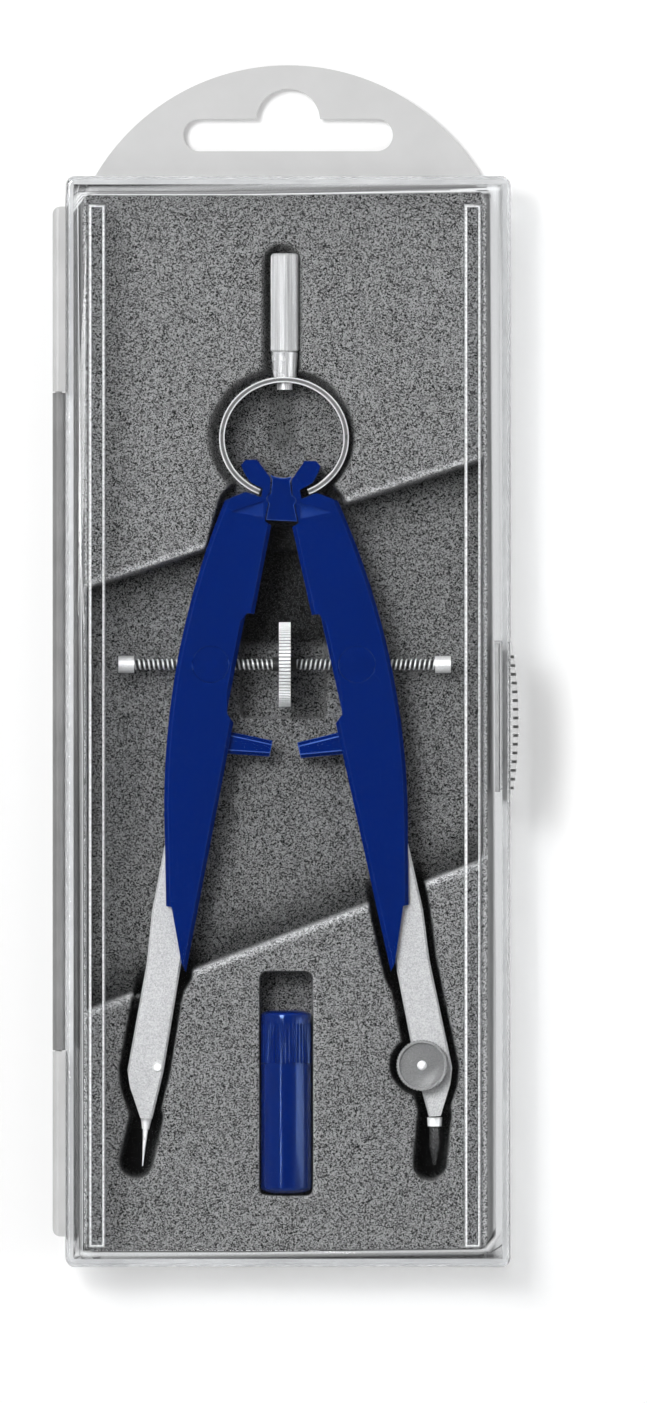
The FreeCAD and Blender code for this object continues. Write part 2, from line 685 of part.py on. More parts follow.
def leg_face(leg, pairs):
    """Flat outline in a leg's frame, put in place."""
    start, *rest = [leg.plan(*pair) for pair in pairs]
    return flat_face(start, rest)


def plan_face(pairs):
    """Flat outline from pairs of X and Y."""
    start, *rest = [(x, y, 0) for x, y in pairs]
    return flat_face(start, rest)


def tray_pockets():
    """Plan outline and floor height of every pocket."""
    pockets = [
        (plan_face(TROUGH_PLAN), dim.trough_floor),
        (plan_face(HEAD_ROOM), dim.trough_floor),
        (plan_face(WHEEL_ROOM), dim.wheel_floor),
        (disc_face(dim.ring_x, dim.ring_y, dim.ring_half_width + dim.ring_room), dim.ring_floor),
    ]
    handle_end = dim.grip_low_y + dim.handle_grip_length + dim.handle_end_room - dim.handle_room
    handle_ends = (Vector(dim.handle_x, dim.ring_y, 0), Vector(dim.handle_x, handle_end, 0))
    pockets.append((stadium_face(*handle_ends, dim.handle_room), dim.handle_floor))

    box_half = dim.box_radius + dim.box_side_room
    box_left = dim.box_x - box_half
    box_right = dim.box_x + box_half
    box_low = dim.box_low_y - dim.box_end_room
    tube_end = dim.box_low_y + dim.tube_length - dim.box_end_room
    pockets.append((box_face(box_left, box_right, box_low, tube_end), dim.tube_floor))
    pockets.append((box_face(box_left, box_right, tube_end, dim.box_pocket_high), dim.cap_floor))

    for leg, end in ((LEFT, LEFT_SLOT_END), (RIGHT, RIGHT_SLOT_END)):
        point = Vector(*leg.plan(dim.point_out, dim.point_down))
        pockets.append((leg_face(leg, LEG_TIP_ROOM), dim.trough_floor))
        pockets.append((leg_face(leg, ARM_OUTLINE).makeOffset2D(dim.arm_room), dim.arm_floor))
        pockets.append((stadium_face(point, Vector(*end, 0), dim.point_room), dim.arm_floor))
    clamp_x, clamp_y, _ = RIGHT.plan(dim.screw_out, dim.screw_down)
    pockets.append((disc_face(clamp_x, clamp_y, dim.clamp_radius + dim.clamp_room), dim.arm_floor))
    return pockets


def tower(face, low, high):
    raised = face.copy()
    raised.translate(Vector(0, 0, low))
    return raised.extrude(Vector(0, 0, high - low))


def make_insert_tray():
    """Formed sheet: a skirt on a foot flange, and a top with a thin cup hanging from it at every pocket."""
    sheet = dim.tray_sheet
    top = dim.tray_top
    floor = dim.case_wall
    left = dim.tray_x - dim.tray_width / 2
    right = left + dim.tray_width
    low = dim.tray_y - dim.tray_length / 2
    high = low + dim.tray_length
    plan = box_face(left, right, low, high)
    block = tower(plan, floor, top)
    block = block.makeFillet(dim.tray_corner, [edge for edge in block.Edges if upright(edge)])
    foot_sides = (left - dim.foot_left, right + dim.foot_right)
    foot_ends = (low - dim.foot_ends, high + dim.foot_ends)
    foot = tower(box_face(*foot_sides, *foot_ends), floor, floor + sheet)
    hollow = tower(plan.makeOffset2D(-sheet), floor, top - sheet)
    pockets = tray_pockets()
    cups = [tower(face.makeOffset2D(sheet), level - sheet, top) for face, level in pockets]
    spaces = [tower(face, level, top + sheet) for face, level in pockets]
    seat_low = dim.arm_floor - sheet / 2
    seats = [tower(leg_face(leg, ARM_SEAT), seat_low, dim.seat_top) for leg in (LEFT, RIGHT)]
    shell = block.fuse(foot).cut(hollow).fuse(cups).cut(spaces).fuse(seats).removeSplitter()
    tray = doc.addObject("Part::Feature", "insert_tray")
    tray.Label = "insert_tray"
    tray.Shape = shell.Solids[0] if len(shell.Solids) == 1 else shell
    return tray


def make_handle():
    grip = turned("handle_grip", [
        ("", ""), ("handle_grip_radius - grip_edge", ""), ("handle_grip_radius", "grip_edge"),
        ("handle_grip_radius", "handle_grip_length - grip_edge"),
        ("handle_grip_radius - grip_edge", "handle_grip_length"), ("", "handle_grip_length"),
    ])
    cut_flutes(grip, GRIP_FLUTES, dim.handle_grip_radius, "handle_grip_length", "handle_grip_length")
    stand(grip, (dim.handle_x, dim.grip_low_y, dim.mid_height), (0, 1, 0))
    cone = turned("handle_cone", [
        ("stud_radius", ""), ("cone_low_radius", ""), ("cone_top_radius", "cone_length"),
        ("", "cone_length"), ("", "cone_bore"), ("stud_radius", "cone_bore"),
    ])
    stand(cone, (dim.handle_x, dim.cone_low_y, dim.mid_height), (0, 1, 0))
    stud = turned("handle_stud", [
        ("", ""), ("stud_head_radius", ""), ("stud_head_radius", "stud_head_length"),
        ("stud_radius", "stud_head_length"), ("stud_radius", "stud_length"), ("", "stud_length"),
    ])
    stud_y = dim.cone_low_y + dim.cone_bore - dim.stud_length
    stand(stud, (dim.handle_x, stud_y, dim.mid_height), (0, 1, 0))
    return [grip, cone, stud]


def make_ring_spring():
    """Open elliptic band, pierced at the top for the stud."""
    body = new_body("ring_band")
    sketch = new_sketch(body)
    centre = Vector(dim.ring_x, dim.ring_y, 0)
    first = math.radians(dim.ring_end_angle - 90)
    last = math.radians(270 - dim.ring_end_angle)
    arcs = []
    for offset in (dim.ring_thickness / 2, -dim.ring_thickness / 2):
        oval = Part.Ellipse(centre, dim.ring_half_width + offset, dim.ring_half_height + offset)
        arcs.append(Part.ArcOfEllipse(oval, first, last))
    outer, inner = arcs
    first_end = Part.LineSegment(outer.StartPoint, inner.StartPoint)
    last_end = Part.LineSegment(outer.EndPoint, inner.EndPoint)
    sketch.addGeometry([outer, inner, first_end, last_end], False)
    pad(body, sketch, "ring_depth", symmetric=True)
    stand(body, (0, 0, dim.mid_height))
    hole_start = (dim.handle_x, dim.ring_y + dim.ring_half_height - dim.stud_length / 2, dim.mid_height)
    hole = rod("ring_hole", "stud_radius + rocker_play", "stud_length", hole_start, (0, 1, 0))
    return cut("ring_spring", body, [hole])


def make_fulcrum_block():
    """Block that fills the gap between the leg heads, with a half-round rocker rib on each side."""
    body = new_body("fulcrum_block")
    middle = (LEFT.pivot.x + RIGHT.pivot.x) / 2
    chord = math.sqrt(dim.rib_radius**2 - BLOCK_SIDE_OUT**2)
    sketch = new_sketch(body)
    draw_outline(sketch, LEFT.plan(*BLOCK_FOOT), [
        RIGHT.plan(*BLOCK_FOOT),
        RIGHT.plan(BLOCK_SIDE_OUT, chord),
        (RIGHT.plan(dim.rib_radius, 0), RIGHT.plan(BLOCK_SIDE_OUT, -chord)),
        RIGHT.plan(*BLOCK_NECK),
        RIGHT.plan(*BLOCK_HORN),
        ((middle, dim.block_dip_y, 0), LEFT.plan(*BLOCK_HORN)),
        LEFT.plan(*BLOCK_NECK),
        LEFT.plan(BLOCK_SIDE_OUT, -chord),
        (LEFT.plan(dim.rib_radius, 0), LEFT.plan(BLOCK_SIDE_OUT, chord)),
    ])
    pad(body, sketch, "block_thickness", symmetric=True)
    return stand(body, (0, 0, dim.mid_height))


def signed(leg, text):
    """Cell text for a distance to the leg's outer side."""
    return text if leg.side > 0 else f"-({text})"


def make_leg_cover(leg):
    body = new_body(leg.name + "_moulding")
    seat = dim.rib_radius + dim.rocker_play
    half_chord = math.sqrt(seat**2 - SEAT_CHORD_OUT**2)
    start, *inner = leg.points(LEG_INNER)
    flank = leg.points(LEG_FLANK)
    sketch = new_sketch(body)
    draw_outline(sketch, start, inner + [
        leg.local(SEAT_CHORD_OUT, half_chord),
        (leg.local(seat, 0), leg.local(SEAT_CHORD_OUT, -half_chord)),
        *leg.points(LEG_EAR), *leg.points(LEG_SHOULDER), (flank[0], flank[1]), *leg.points(LEG_STEP),
    ])
    pad(body, sketch, "leg_thickness", symmetric=True)
    dress_edges(body, "Chamfer", "leg_chamfer", long_rim_edge(dim.leg_thickness, LONG_EDGE))

    facet = new_sketch(body, height="leg_thickness / 2")
    start, *rest = leg.points(LEG_FACET)
    draw_outline(facet, start, rest)
    pocket(body, facet, "facet_depth")
    nut = new_sketch(body)
    draw_circle(nut, "nut_radius + nut_play", signed(leg, "nut_out"), "-nut_down")
    pocket(body, nut, "leg_thickness", symmetric=True)
    room = new_sketch(body)
    draw_outline(room, *leg.rounded(ROOM_HEAD, ROOM_ROUND, ROOM_TAIL))
    pocket(body, room, "lever_thickness + 2 * lever_side_play", symmetric=True)
    pin = new_sketch(body)
    draw_circle(pin, "lever_pin_radius", signed(leg, "lever_out"), "-lever_down")
    pocket(body, pin, "lever_pin_length", symmetric=True)
    socket = new_sketch(body)
    start, *rest = leg.points(ARM_OUTLINE)
    draw_outline(socket, start, rest)
    pocket(body, socket, "arm_thickness + 2 * arm_play", symmetric=True)
    body.Placement = leg.placement

    nut_place = leg.world(dim.nut_out, dim.nut_down)
    bore_start = (nut_place.x - dim.leg_bore_length / 2, dim.spindle_y, dim.mid_height)
    bore = rod(leg.name + "_leg_bore", "leg_bore_radius", "leg_bore_length", bore_start, (1, 0, 0))
    return cut(leg.name + "_leg_cover", body, [bore])


def make_lever(leg):
    """Release lever, its pin and the leaf spring that pushes it back."""
    lever = new_body(leg.name + "_release_lever")
    sketch = new_sketch(lever)
    draw_outline(sketch, *leg.rounded(LEVER_HEAD, LEVER_ROUND, LEVER_TAIL))
    pad(lever, sketch, "lever_thickness", symmetric=True)
    dress_edges(lever, "Chamfer", "lever_chamfer", long_rim_edge(dim.lever_thickness, LEVER_LONG_EDGE))
    eye = new_sketch(lever)
    draw_circle(eye, "lever_pin_radius + lever_pin_play", signed(leg, "lever_out"), "-lever_down")
    pocket(lever, eye, "lever_thickness", symmetric=True)
    lever.Placement = leg.placement

    place = leg.world(dim.lever_out, dim.lever_down)
    pin_base = (place.x, place.y, dim.mid_height - dim.lever_pin_length / 2)
    pin = rod(leg.name + "_lever_pin", "lever_pin_radius", "lever_pin_length", pin_base, (0, 0, 1))
    leaf = new_body(leg.name + "_lever_spring")
    strip = new_sketch(leaf)
    root, tip = LEAF_ENDS
    under = [(out, down + dim.leaf_thickness) for out, down in (tip, root)]
    draw_outline(strip, leg.local(*root), [leg.local(*tip), *leg.points(under)])
    pad(leaf, strip, "leaf_width", symmetric=True)
    leaf.Placement = leg.placement
    return [lever, pin, leaf]


def make_arm(leg, screw_hole, bore):
    """Metal arm with its cross hole, bored from below for the needle collar or the lead."""
    body = new_body(leg.name + "_arm_bar")
    start, *rest = leg.points(ARM_OUTLINE)
    sketch = new_sketch(body)
    draw_outline(sketch, start, rest)
    pad(body, sketch, "arm_thickness", symmetric=True)
    dress_edges(body, "Chamfer", "arm_chamfer", long_rim_edge(dim.arm_thickness, LONG_EDGE))
    hole = new_sketch(body)
    draw_circle(hole, screw_hole, signed(leg, "screw_out"), "-screw_down")
    pocket(body, hole, "arm_thickness", symmetric=True)
    body.Placement = leg.placement
    return cut(leg.name + "_arm", body, [bore])


def make_swivel_nut(leg):
    place = leg.world(dim.nut_out, dim.nut_down)
    base = (place.x, place.y, dim.mid_height - dim.leg_thickness / 2)
    barrel = rod(leg.name + "_nut_barrel", "nut_radius", "leg_thickness", base, (0, 0, 1))
    start = (place.x - dim.leg_bore_length / 2, dim.spindle_y, dim.mid_height)
    bore = rod(leg.name + "_nut_bore", "nut_bore_radius", "leg_bore_length", start, (1, 0, 0))
    return cut(leg.name + "_swivel_nut", barrel, [bore])


def make_spindle():
    left = (dim.spindle_left_x, dim.spindle_y, dim.mid_height)
    right_x = dim.spindle_left_x + dim.spindle_length
    screw = rod("spindle", "spindle_radius", "spindle_length", left, (1, 0, 0))
    caps = []
    for side, end_x, inwards in (("left", dim.spindle_left_x, 1), ("right", right_x, -1)):
        cap = turned(side + "_spindle_cap", [
            ("spindle_radius", ""), ("end_cap_radius", ""), ("end_cap_radius", "end_cap_length"),
            ("", "end_cap_length"), ("", "end_cap_bore"), ("spindle_radius", "end_cap_bore"),
        ])
        base = (end_x + inwards * dim.end_cap_bore, dim.spindle_y, dim.mid_height)
        caps.append(stand(cap, base, (-inwards, 0, 0)))
    rim_low = "hub_length / 2 - wheel_thickness / 2"
    rim_high = "hub_length / 2 + wheel_thickness / 2"
    wheel = turned("thumbwheel", [
        ("spindle_radius", ""), ("hub_radius", ""), ("hub_radius", rim_low), ("wheel_radius", rim_low),
        ("wheel_radius", rim_high), ("hub_radius", rim_high), ("hub_radius", "hub_length"),
        ("spindle_radius", "hub_length"),
    ])
    cut_flutes(wheel, WHEEL_FLUTES, dim.wheel_radius, rim_high, "wheel_thickness")
    stand(wheel, (dim.wheel_x - dim.hub_length / 2, dim.spindle_y, dim.mid_height), (1, 0, 0))
    return [screw, wheel, *caps]


def make_needle_point():
    """Left arm with needle, collar and rivet."""
    point = LEFT.world(dim.point_out, dim.point_down)
    tip = LEFT.world(dim.needle_tip_out, dim.needle_tip_down)
    along = (tip - point).normalize()
    collar_base = point - along * dim.collar_sunk
    needle_base = tip - along * dim.needle_length
    bore = rod("left_arm_bore", "collar_radius", "collar_length", collar_base, along)
    arm = make_arm(LEFT, "rivet_radius", bore)
    collar = turned("needle_collar", [
        ("", ""), ("collar_radius", ""), ("collar_radius", "collar_sunk"),
        ("collar_tip_radius", "collar_length"), ("needle_radius", "collar_length"),
        ("needle_radius", "collar_bore"), ("", "collar_bore"),
    ])
    stand(collar, collar_base, along)
    needle = turned("needle", [
        ("", ""), ("needle_radius", ""), ("needle_radius", "needle_straight"),
        ("needle_tip_radius", "needle_length"), ("", "needle_length"),
    ])
    stand(needle, needle_base, along)
    rivet_top = "arm_thickness + rivet_head"
    rivet = turned("needle_rivet", [
        ("", ""), ("rivet_radius", ""), ("rivet_radius", "arm_thickness"), ("rivet_head_radius", "arm_thickness"),
        ("rivet_head_radius - rivet_head", rivet_top), ("", rivet_top),
    ])
    place = LEFT.world(dim.screw_out, dim.screw_down)
    stand(rivet, (place.x, place.y, dim.mid_height - dim.arm_thickness / 2))
    return [arm, collar, needle, rivet]


def make_lead_point():
    """Right arm with clamp screw, sleeve and lead."""
    point = RIGHT.world(dim.point_out, dim.point_down)
    down = (0, -1, 0)
    lead_base = (point.x, point.y + dim.lead_sunk, dim.mid_height)
    bore_base = (point.x, point.y + dim.lead_sunk + dim.lead_play, dim.mid_height)
    bore = rod("right_arm_bore", "lead_radius + lead_play", "lead_length", bore_base, down)
    arm = make_arm(RIGHT, "clamp_shank_radius + shank_play", bore)
    lead = turned("lead", [
        ("", ""), ("lead_radius", ""), ("lead_radius", "lead_straight"),
        ("lead_point_radius", "lead_length"), ("", "lead_length"),
    ])
    stand(lead, lead_base, down)
    sleeve = turned("lead_sleeve", [
        ("lead_radius + lead_play", ""), ("sleeve_radius", ""), ("sleeve_tip_radius", "sleeve_length"),
        ("lead_radius + lead_play", "sleeve_length"),
    ])
    stand(sleeve, (point.x, point.y - dim.sleeve_drop, dim.mid_height), down)
    disc_top = "clamp_shank + clamp_disc"
    dish_floor = disc_top + " - clamp_recess"
    clamp = turned("clamp_screw", [
        ("", ""), ("clamp_shank_radius", ""), ("clamp_shank_radius", "clamp_shank"),
        ("clamp_radius", "clamp_shank"), ("clamp_radius", disc_top),
        ("clamp_rim_radius", disc_top), ("clamp_rim_radius", dish_floor), ("clamp_boss_radius", dish_floor),
        ("clamp_boss_radius - clamp_boss_edge", disc_top), ("", disc_top),
    ])
    cut_flutes(clamp, CLAMP_FLUTES, dim.clamp_radius, disc_top, "clamp_disc")
    place = RIGHT.world(dim.screw_out, dim.screw_down)
    disc_low = dim.mid_height + dim.arm_thickness / 2 + dim.clamp_gap
    stand(clamp, (place.x, place.y, disc_low - dim.clamp_shank))
    return [arm, lead, sleeve, clamp]


def make_lead_box():
    """Tube with a neck, pull-off fluted cap and three spare leads."""
    up = (0, 1, 0)
    neck_top = "tube_length + neck_length"
    tube = turned("lead_box_tube", [
        ("", ""), ("box_radius - box_edge", ""), ("box_radius", "box_edge"),
        ("box_radius", "tube_length"), ("neck_radius", "tube_length"), ("neck_radius", neck_top),
        ("tube_bore", neck_top), ("tube_bore", "tube_bottom"), ("", "tube_bottom"),
    ])
    stand(tube, (dim.box_x, dim.box_low_y, dim.mid_height), up)
    cap = turned("lead_box_cap", [
        ("cap_bore", ""), ("box_radius", ""), ("box_radius", "cap_length - box_edge"),
        ("box_radius - box_edge", "cap_length"), ("", "cap_length"),
        ("", "cap_depth"), ("cap_bore", "cap_depth"),
    ])
    cut_flutes(cap, CAP_FLUTES, dim.box_radius, "cap_depth + box_edge", "cap_depth + box_edge")
    stand(cap, (dim.box_x, dim.box_low_y + dim.tube_length + dim.cap_gap, dim.mid_height), up)
    leads = doc.addObject("Part::Compound", "spare_leads")
    leads.Label = "spare_leads"
    leads.Links = [spare_lead(i) for i in range(SPARE_LEADS)]
    return [tube, cap, leads]


def spare_lead(index):
    angle = math.radians(90 + 360 / SPARE_LEADS * index)
    base = (
        dim.box_x + dim.spare_circle * math.cos(angle),
        dim.box_low_y + dim.tube_bottom,
        dim.mid_height + dim.spare_circle * math.sin(angle),
    )
    return rod(f"spare_lead_{index}", "lead_radius", "spare_length", base, (0, 1, 0))


def make_all():
    nodes = [make_case_base(), make_case_lid(), make_hang_tab(), make_insert_tray()]
    nodes += make_handle()
    nodes += [make_ring_spring(), make_fulcrum_block()]
    for leg in (LEFT, RIGHT):
        nodes.append(make_leg_cover(leg))
        nodes.append(make_swivel_nut(leg))
        nodes += make_lever(leg)
    nodes += make_spindle() + make_needle_point() + make_lead_point() + make_lead_box()
    return nodes


def check_and_export(nodes):
    """Stop on any failed object, then write one file for each node."""
    doc.recompute()
    for item in doc.Objects:
        if "Invalid" in item.State or "Error" in item.State:
            raise RuntimeError(f"{item.Label} failed: {item.State}")
    for node in nodes:
        if node.Shape.isNull() or not node.Shape.isValid():
            raise RuntimeError(f"{node.Label} has no valid shape")
    os.makedirs("parts", exist_ok=True)
    for node in nodes:
        node.Shape.exportStep(f"parts/{node.Label}.step")
        print(f"{node.Label}: {len(node.Shape.Solids)} solid, {node.Shape.Volume:.1f} mm3")


check_and_export(make_all())
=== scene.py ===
"""Looks of a clear hinged hang case that holds a spring-bow compass and a lead box in a flocked tray.

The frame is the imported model's, in metres: X across the case, Y towards the hang tab, Z up through the lid.
Sizes and places below are in millimetres, except for the camera's, the lamps' and those with MM in them.
"""
import math
import bmesh
import bpy
import numpy as np
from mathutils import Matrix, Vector


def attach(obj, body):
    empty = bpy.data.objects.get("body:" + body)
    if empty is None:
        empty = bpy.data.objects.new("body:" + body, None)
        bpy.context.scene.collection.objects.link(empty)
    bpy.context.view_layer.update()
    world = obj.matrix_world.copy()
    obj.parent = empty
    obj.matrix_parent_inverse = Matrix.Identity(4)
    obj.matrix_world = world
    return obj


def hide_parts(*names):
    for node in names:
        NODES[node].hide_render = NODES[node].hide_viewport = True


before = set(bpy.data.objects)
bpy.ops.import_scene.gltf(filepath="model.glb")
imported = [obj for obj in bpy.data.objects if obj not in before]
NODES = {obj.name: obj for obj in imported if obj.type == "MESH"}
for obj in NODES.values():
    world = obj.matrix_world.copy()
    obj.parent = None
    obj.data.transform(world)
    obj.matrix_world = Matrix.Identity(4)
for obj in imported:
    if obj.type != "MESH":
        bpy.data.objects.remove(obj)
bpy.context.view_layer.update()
MM = 0.001

# Photograph: its frame in pixels, its scale on the case and the pixel over the model's origin
PHOTO_WIDTH = 647
PHOTO_HEIGHT = 1403
PIXEL_SIZE = 0.18 * MM
ORIGIN_PIXEL_X = 288.0
ORIGIN_PIXEL_Y = 721.5
SCALE_HEIGHT = 12.0 * MM

# Heights of the tray's floors, as the pieces that lie in them need
TRAY_TOP = 12.3
TROUGH_FLOOR = 6.3
SLOT_FLOOR = 3.0
RING_FLOOR = 6.3
HANDLE_FLOOR = 7.9
WHEEL_FLOOR = 2.4
BOX_FLOOR = 5.4
CASE_FLOOR = 1.5

# Lines of the tray in plan: its edges, the trough's outline and the painted highlight lines of its border
TRAY_EDGES = (-37.1, 35.8, -95.5, 95.7)
TROUGH = [(-40.0, 22.6), (40.0, 48.76), (40.0, -22.8), (-40.0, -53.3)]
LEFT_LINE = -36.65
RIGHT_LINE = 37.0
RIGHT_RIM = 35.35
TOP_LINE = 95.8
LOW_LINE = -96.0
LINE_REACH = 0.45
RIM_REACH = 0.6
END_REACH = 0.6

# Axes and radii of the round pieces
MID_HEIGHT = 10.5
HANDLE_X = -0.6
BOX_X = -0.3
SPINDLE_Y = 10.3
WHEEL_X = -0.56
WHEEL_ROOT = 7.30
WHEEL_CREST = 7.52
THREAD_ROOT = 0.78
THREAD_FLANK = 0.95
THREAD_CREST = 1.025
RING_CENTRE = (-0.7, 51.0)
RING_RADIUS_X = 11.15
RING_RADIUS_Y = 10.5
CLAMP = (24.079, -61.784)


# Node trees


FLOAT = "NodeSocketFloat"
VECTOR = "NodeSocketVector"
MIX_COLOUR_A = 6
MIX_COLOUR_B = 7
MIX_COLOUR_RESULT = 2


def add_node(tree, kind, inputs=None, **settings):
    """New node. An input is a value or the socket that feeds it."""
    node = tree.nodes.new(kind)
    for name, value in settings.items():
        setattr(node, name, value)
    for socket, value in (inputs or {}).items():
        if isinstance(value, bpy.types.NodeSocket):
            tree.links.new(value, node.inputs[socket])
        else:
            node.inputs[socket].default_value = value
    return node


def result_of(tree, kind, inputs=None, **settings):
    """First output of a new node."""
    return add_node(tree, kind, inputs, **settings).outputs[0]


def new_group(name, kind, inputs, output):
    """Node group with named inputs and one output, and the sockets that start and end its tree."""
    tree = bpy.data.node_groups.new(name, kind)
    for label, socket_type, value in inputs:
        socket = tree.interface.new_socket(label, in_out="INPUT", socket_type=socket_type)
        if value is not None:
            socket.default_value = value
    label, socket_type = output
    tree.interface.new_socket(label, in_out="OUTPUT", socket_type=socket_type)
    return tree, tree.nodes.new("NodeGroupInput").outputs, tree.nodes.new("NodeGroupOutput").inputs


def fill_group(tree, group, place, **inputs):
    """Output of a shader group, placed in a material with its own values."""
    return result_of(tree, "ShaderNodeGroup", {"Vector": place, **inputs}, node_tree=group)


def combine(tree, operation, *values):
    """Result of one sum on values or sockets."""
    return result_of(tree, "ShaderNodeMath", dict(enumerate(values)), operation=operation)


def combine_vectors(tree, operation, *values):
    """Outputs of one sum on vectors: Vector or Value, as the sum gives."""
    return add_node(tree, "ShaderNodeVectorMath", dict(enumerate(values)), operation=operation).outputs


def highest(tree, largest, *others):
    """Largest of several values."""
    for value in others:
        largest = combine(tree, "MAXIMUM", largest, value)
    return largest


def map_range(tree, value, start, end, low=0.0, high=1.0, **settings):
    """Value that goes from low to high while the given one goes from start to end."""
    return result_of(tree, "ShaderNodeMapRange", {
        "Value": value, "From Min": start, "From Max": end, "To Min": low, "To Max": high,
    }, **settings)


def grey(level):
    """Opaque grey."""
    return (level, level, level, 1.0)


def mix_colours(tree, mask, low, high):
    """Colour between two, by a mask."""
    mixed = add_node(tree, "ShaderNodeMix", {
        0: mask, MIX_COLOUR_A: low, MIX_COLOUR_B: high,
    }, data_type="RGBA")
    return mixed.outputs[MIX_COLOUR_RESULT]


def mix_greys(tree, mask, tones):
    """Grey between two tones, by a mask."""
    low, high = tones
    return mix_colours(tree, mask, grey(low), grey(high))


def relief(tree, height, strength, depth):
    """Normal of a relief that is so many millimetres deep."""
    return result_of(tree, "ShaderNodeBump", {"Height": height, "Strength": strength, "Distance": depth * MM})


# Effects that several finishes share


GRAIN_SPREAD = (0.32, 0.68)
DRAWN_SPREAD = (0.3, 0.7)
LINE_INPUTS = [("Vector", VECTOR, None), ("Direction", VECTOR, (1.0, 0.0, 0.0)), ("Offset", FLOAT, 0.0)]


def make_grain_group():
    """Fine speckle of one Scale: a mask from Low to High."""
    tree, given, result = new_group(
        "fine_grain", "ShaderNodeTree",
        [("Vector", VECTOR, None), ("Scale", FLOAT, 5000.0), ("Low", FLOAT, 0.0), ("High", FLOAT, 1.0)],
        ("Mask", FLOAT),
    )
    noise = add_node(tree, "ShaderNodeTexNoise", {
        "Vector": given["Vector"], "Scale": given["Scale"], "Detail": 2.0, "Roughness": 0.6,
    })
    mask = map_range(tree, noise.outputs["Fac"], *GRAIN_SPREAD, given["Low"], given["High"])
    tree.links.new(mask, result["Mask"])
    return tree


def make_drawn_group():
    """Fine lines along one direction, as drawn or turned metal has: a mask from Low to High."""
    tree, given, result = new_group(
        "drawn_lines", "ShaderNodeTree",
        [("Vector", VECTOR, None), ("Stretch", VECTOR, (1.0, 1.0, 1.0)),
         ("Low", FLOAT, 0.0), ("High", FLOAT, 1.0)],
        ("Mask", FLOAT),
    )
    stretched = result_of(tree, "ShaderNodeMapping", {"Vector": given["Vector"], "Scale": given["Stretch"]})
    noise = add_node(tree, "ShaderNodeTexNoise", {
        "Vector": stretched, "Scale": 1.0, "Detail": 3.0, "Roughness": 0.65,
    })
    mask = map_range(tree, noise.outputs["Fac"], *DRAWN_SPREAD, given["Low"], given["High"])
    tree.links.new(mask, result["Mask"])
    return tree


def make_groove_shade_group():
    """Mask by the distance from a Middle radius around Centre, to place painted shade: 0 up to Floor, 1 from
    Crest on.
    """
    tree, given, result = new_group(
        "groove_shade_mask", "ShaderNodeTree",
        [("Vector", VECTOR, None), ("Centre", VECTOR, (0.0, 0.0, 0.0)), ("Across", VECTOR, (1.0, 1.0, 1.0)),
         ("Middle", FLOAT, 0.0), ("Floor", FLOAT, 0.0), ("Crest", FLOAT, 1.0)],
        ("Mask", FLOAT),
    )
    offset = combine_vectors(tree, "SUBTRACT", given["Vector"], given["Centre"])["Vector"]
    across = combine_vectors(tree, "MULTIPLY", offset, given["Across"])["Vector"]
    reach = combine_vectors(tree, "LENGTH", across)["Value"]
    away = combine(tree, "ABSOLUTE", combine(tree, "SUBTRACT", reach, given["Middle"]))
    tree.links.new(map_range(tree, away, given["Floor"], given["Crest"]), result["Mask"])
    return tree


def distance_from_line(tree, given):
    """Distance from the straight line that lies at Offset along Direction."""
    place = combine_vectors(tree, "DOT_PRODUCT", given["Vector"], given["Direction"])["Value"]
    return combine(tree, "ABSOLUTE", combine(tree, "SUBTRACT", place, given["Offset"]))


def make_band_group():
    """Soft band along a straight line: 1 on the line, 0 at Reach from it."""
    tree, given, result = new_group(
        "line_band", "ShaderNodeTree", LINE_INPUTS + [("Reach", FLOAT, 0.001)], ("Mask", FLOAT),
    )
    away = distance_from_line(tree, given)
    band = map_range(tree, away, given["Reach"], 0.0, interpolation_type="SMOOTHSTEP")
    tree.links.new(band, result["Mask"])
    return tree


def make_fade_group():
    """Shade that grows towards a straight line: Low on the line, 1 from Reach on either side of it on."""
    tree, given, result = new_group(
        "edge_fade", "ShaderNodeTree",
        LINE_INPUTS + [("Reach", FLOAT, 0.01), ("Low", FLOAT, 0.5)], ("Shade", FLOAT),
    )
    away = distance_from_line(tree, given)
    fade = map_range(tree, away, 0.0, given["Reach"], given["Low"], 1.0, interpolation_type="SMOOTHSTEP")
    tree.links.new(fade, result["Shade"])
    return tree


GRAIN = make_grain_group()
BAND = make_band_group()
FADE = make_fade_group()
DRAWN = make_drawn_group()
GROOVE_SHADE = make_groove_shade_group()


# Start and end of every finish


def start_material(name):
    """Empty material with its tree, its output node and the piece's own coordinates."""
    material = bpy.data.materials.new(name)
    material.use_nodes = True
    tree = material.node_tree
    tree.nodes.clear()
    output = tree.nodes.new("ShaderNodeOutputMaterial")
    place = tree.nodes.new("ShaderNodeTexCoord").outputs["Object"]
    return material, tree, output, place


def coat(tree, output, inputs):
    """Principled shader as the surface of a material."""
    shader = result_of(tree, "ShaderNodeBsdfPrincipled", inputs)
    tree.links.new(shader, output.inputs["Surface"])


# Grey flock of the tray: its fibres, the tones of dark and pale fibres, of its painted shade and painted
# highlights, and the tones of what has none


FIBRE_SCALE = 5200.0
FIBRE_DEPTH = 0.1
TUFT_SPREAD = (0.12, 0.88)
POCKET_SHADE_FRAY = 0.7
POCKET_SHADE_SPREAD = (0.25, 0.75)
TOP_TONES = (0.004, 0.27)
# Painted shade: darker fibres for the floors of the pockets and the trough
SHADED_FLOOR_TONES = (0.003, 0.215)
# Painted highlight: paler fibres on formed edges and along the border lines
HIGHLIGHT_TONES = (0.11, 0.57)
# The skirt's own grey, raised to a painted highlight along the border lines
SKIRT_AND_HIGHLIGHT_TONES = (0.24, 0.85)
# Painted shade: near black for the pits along pocket walls
POCKET_SHADE_TONE = 0.007
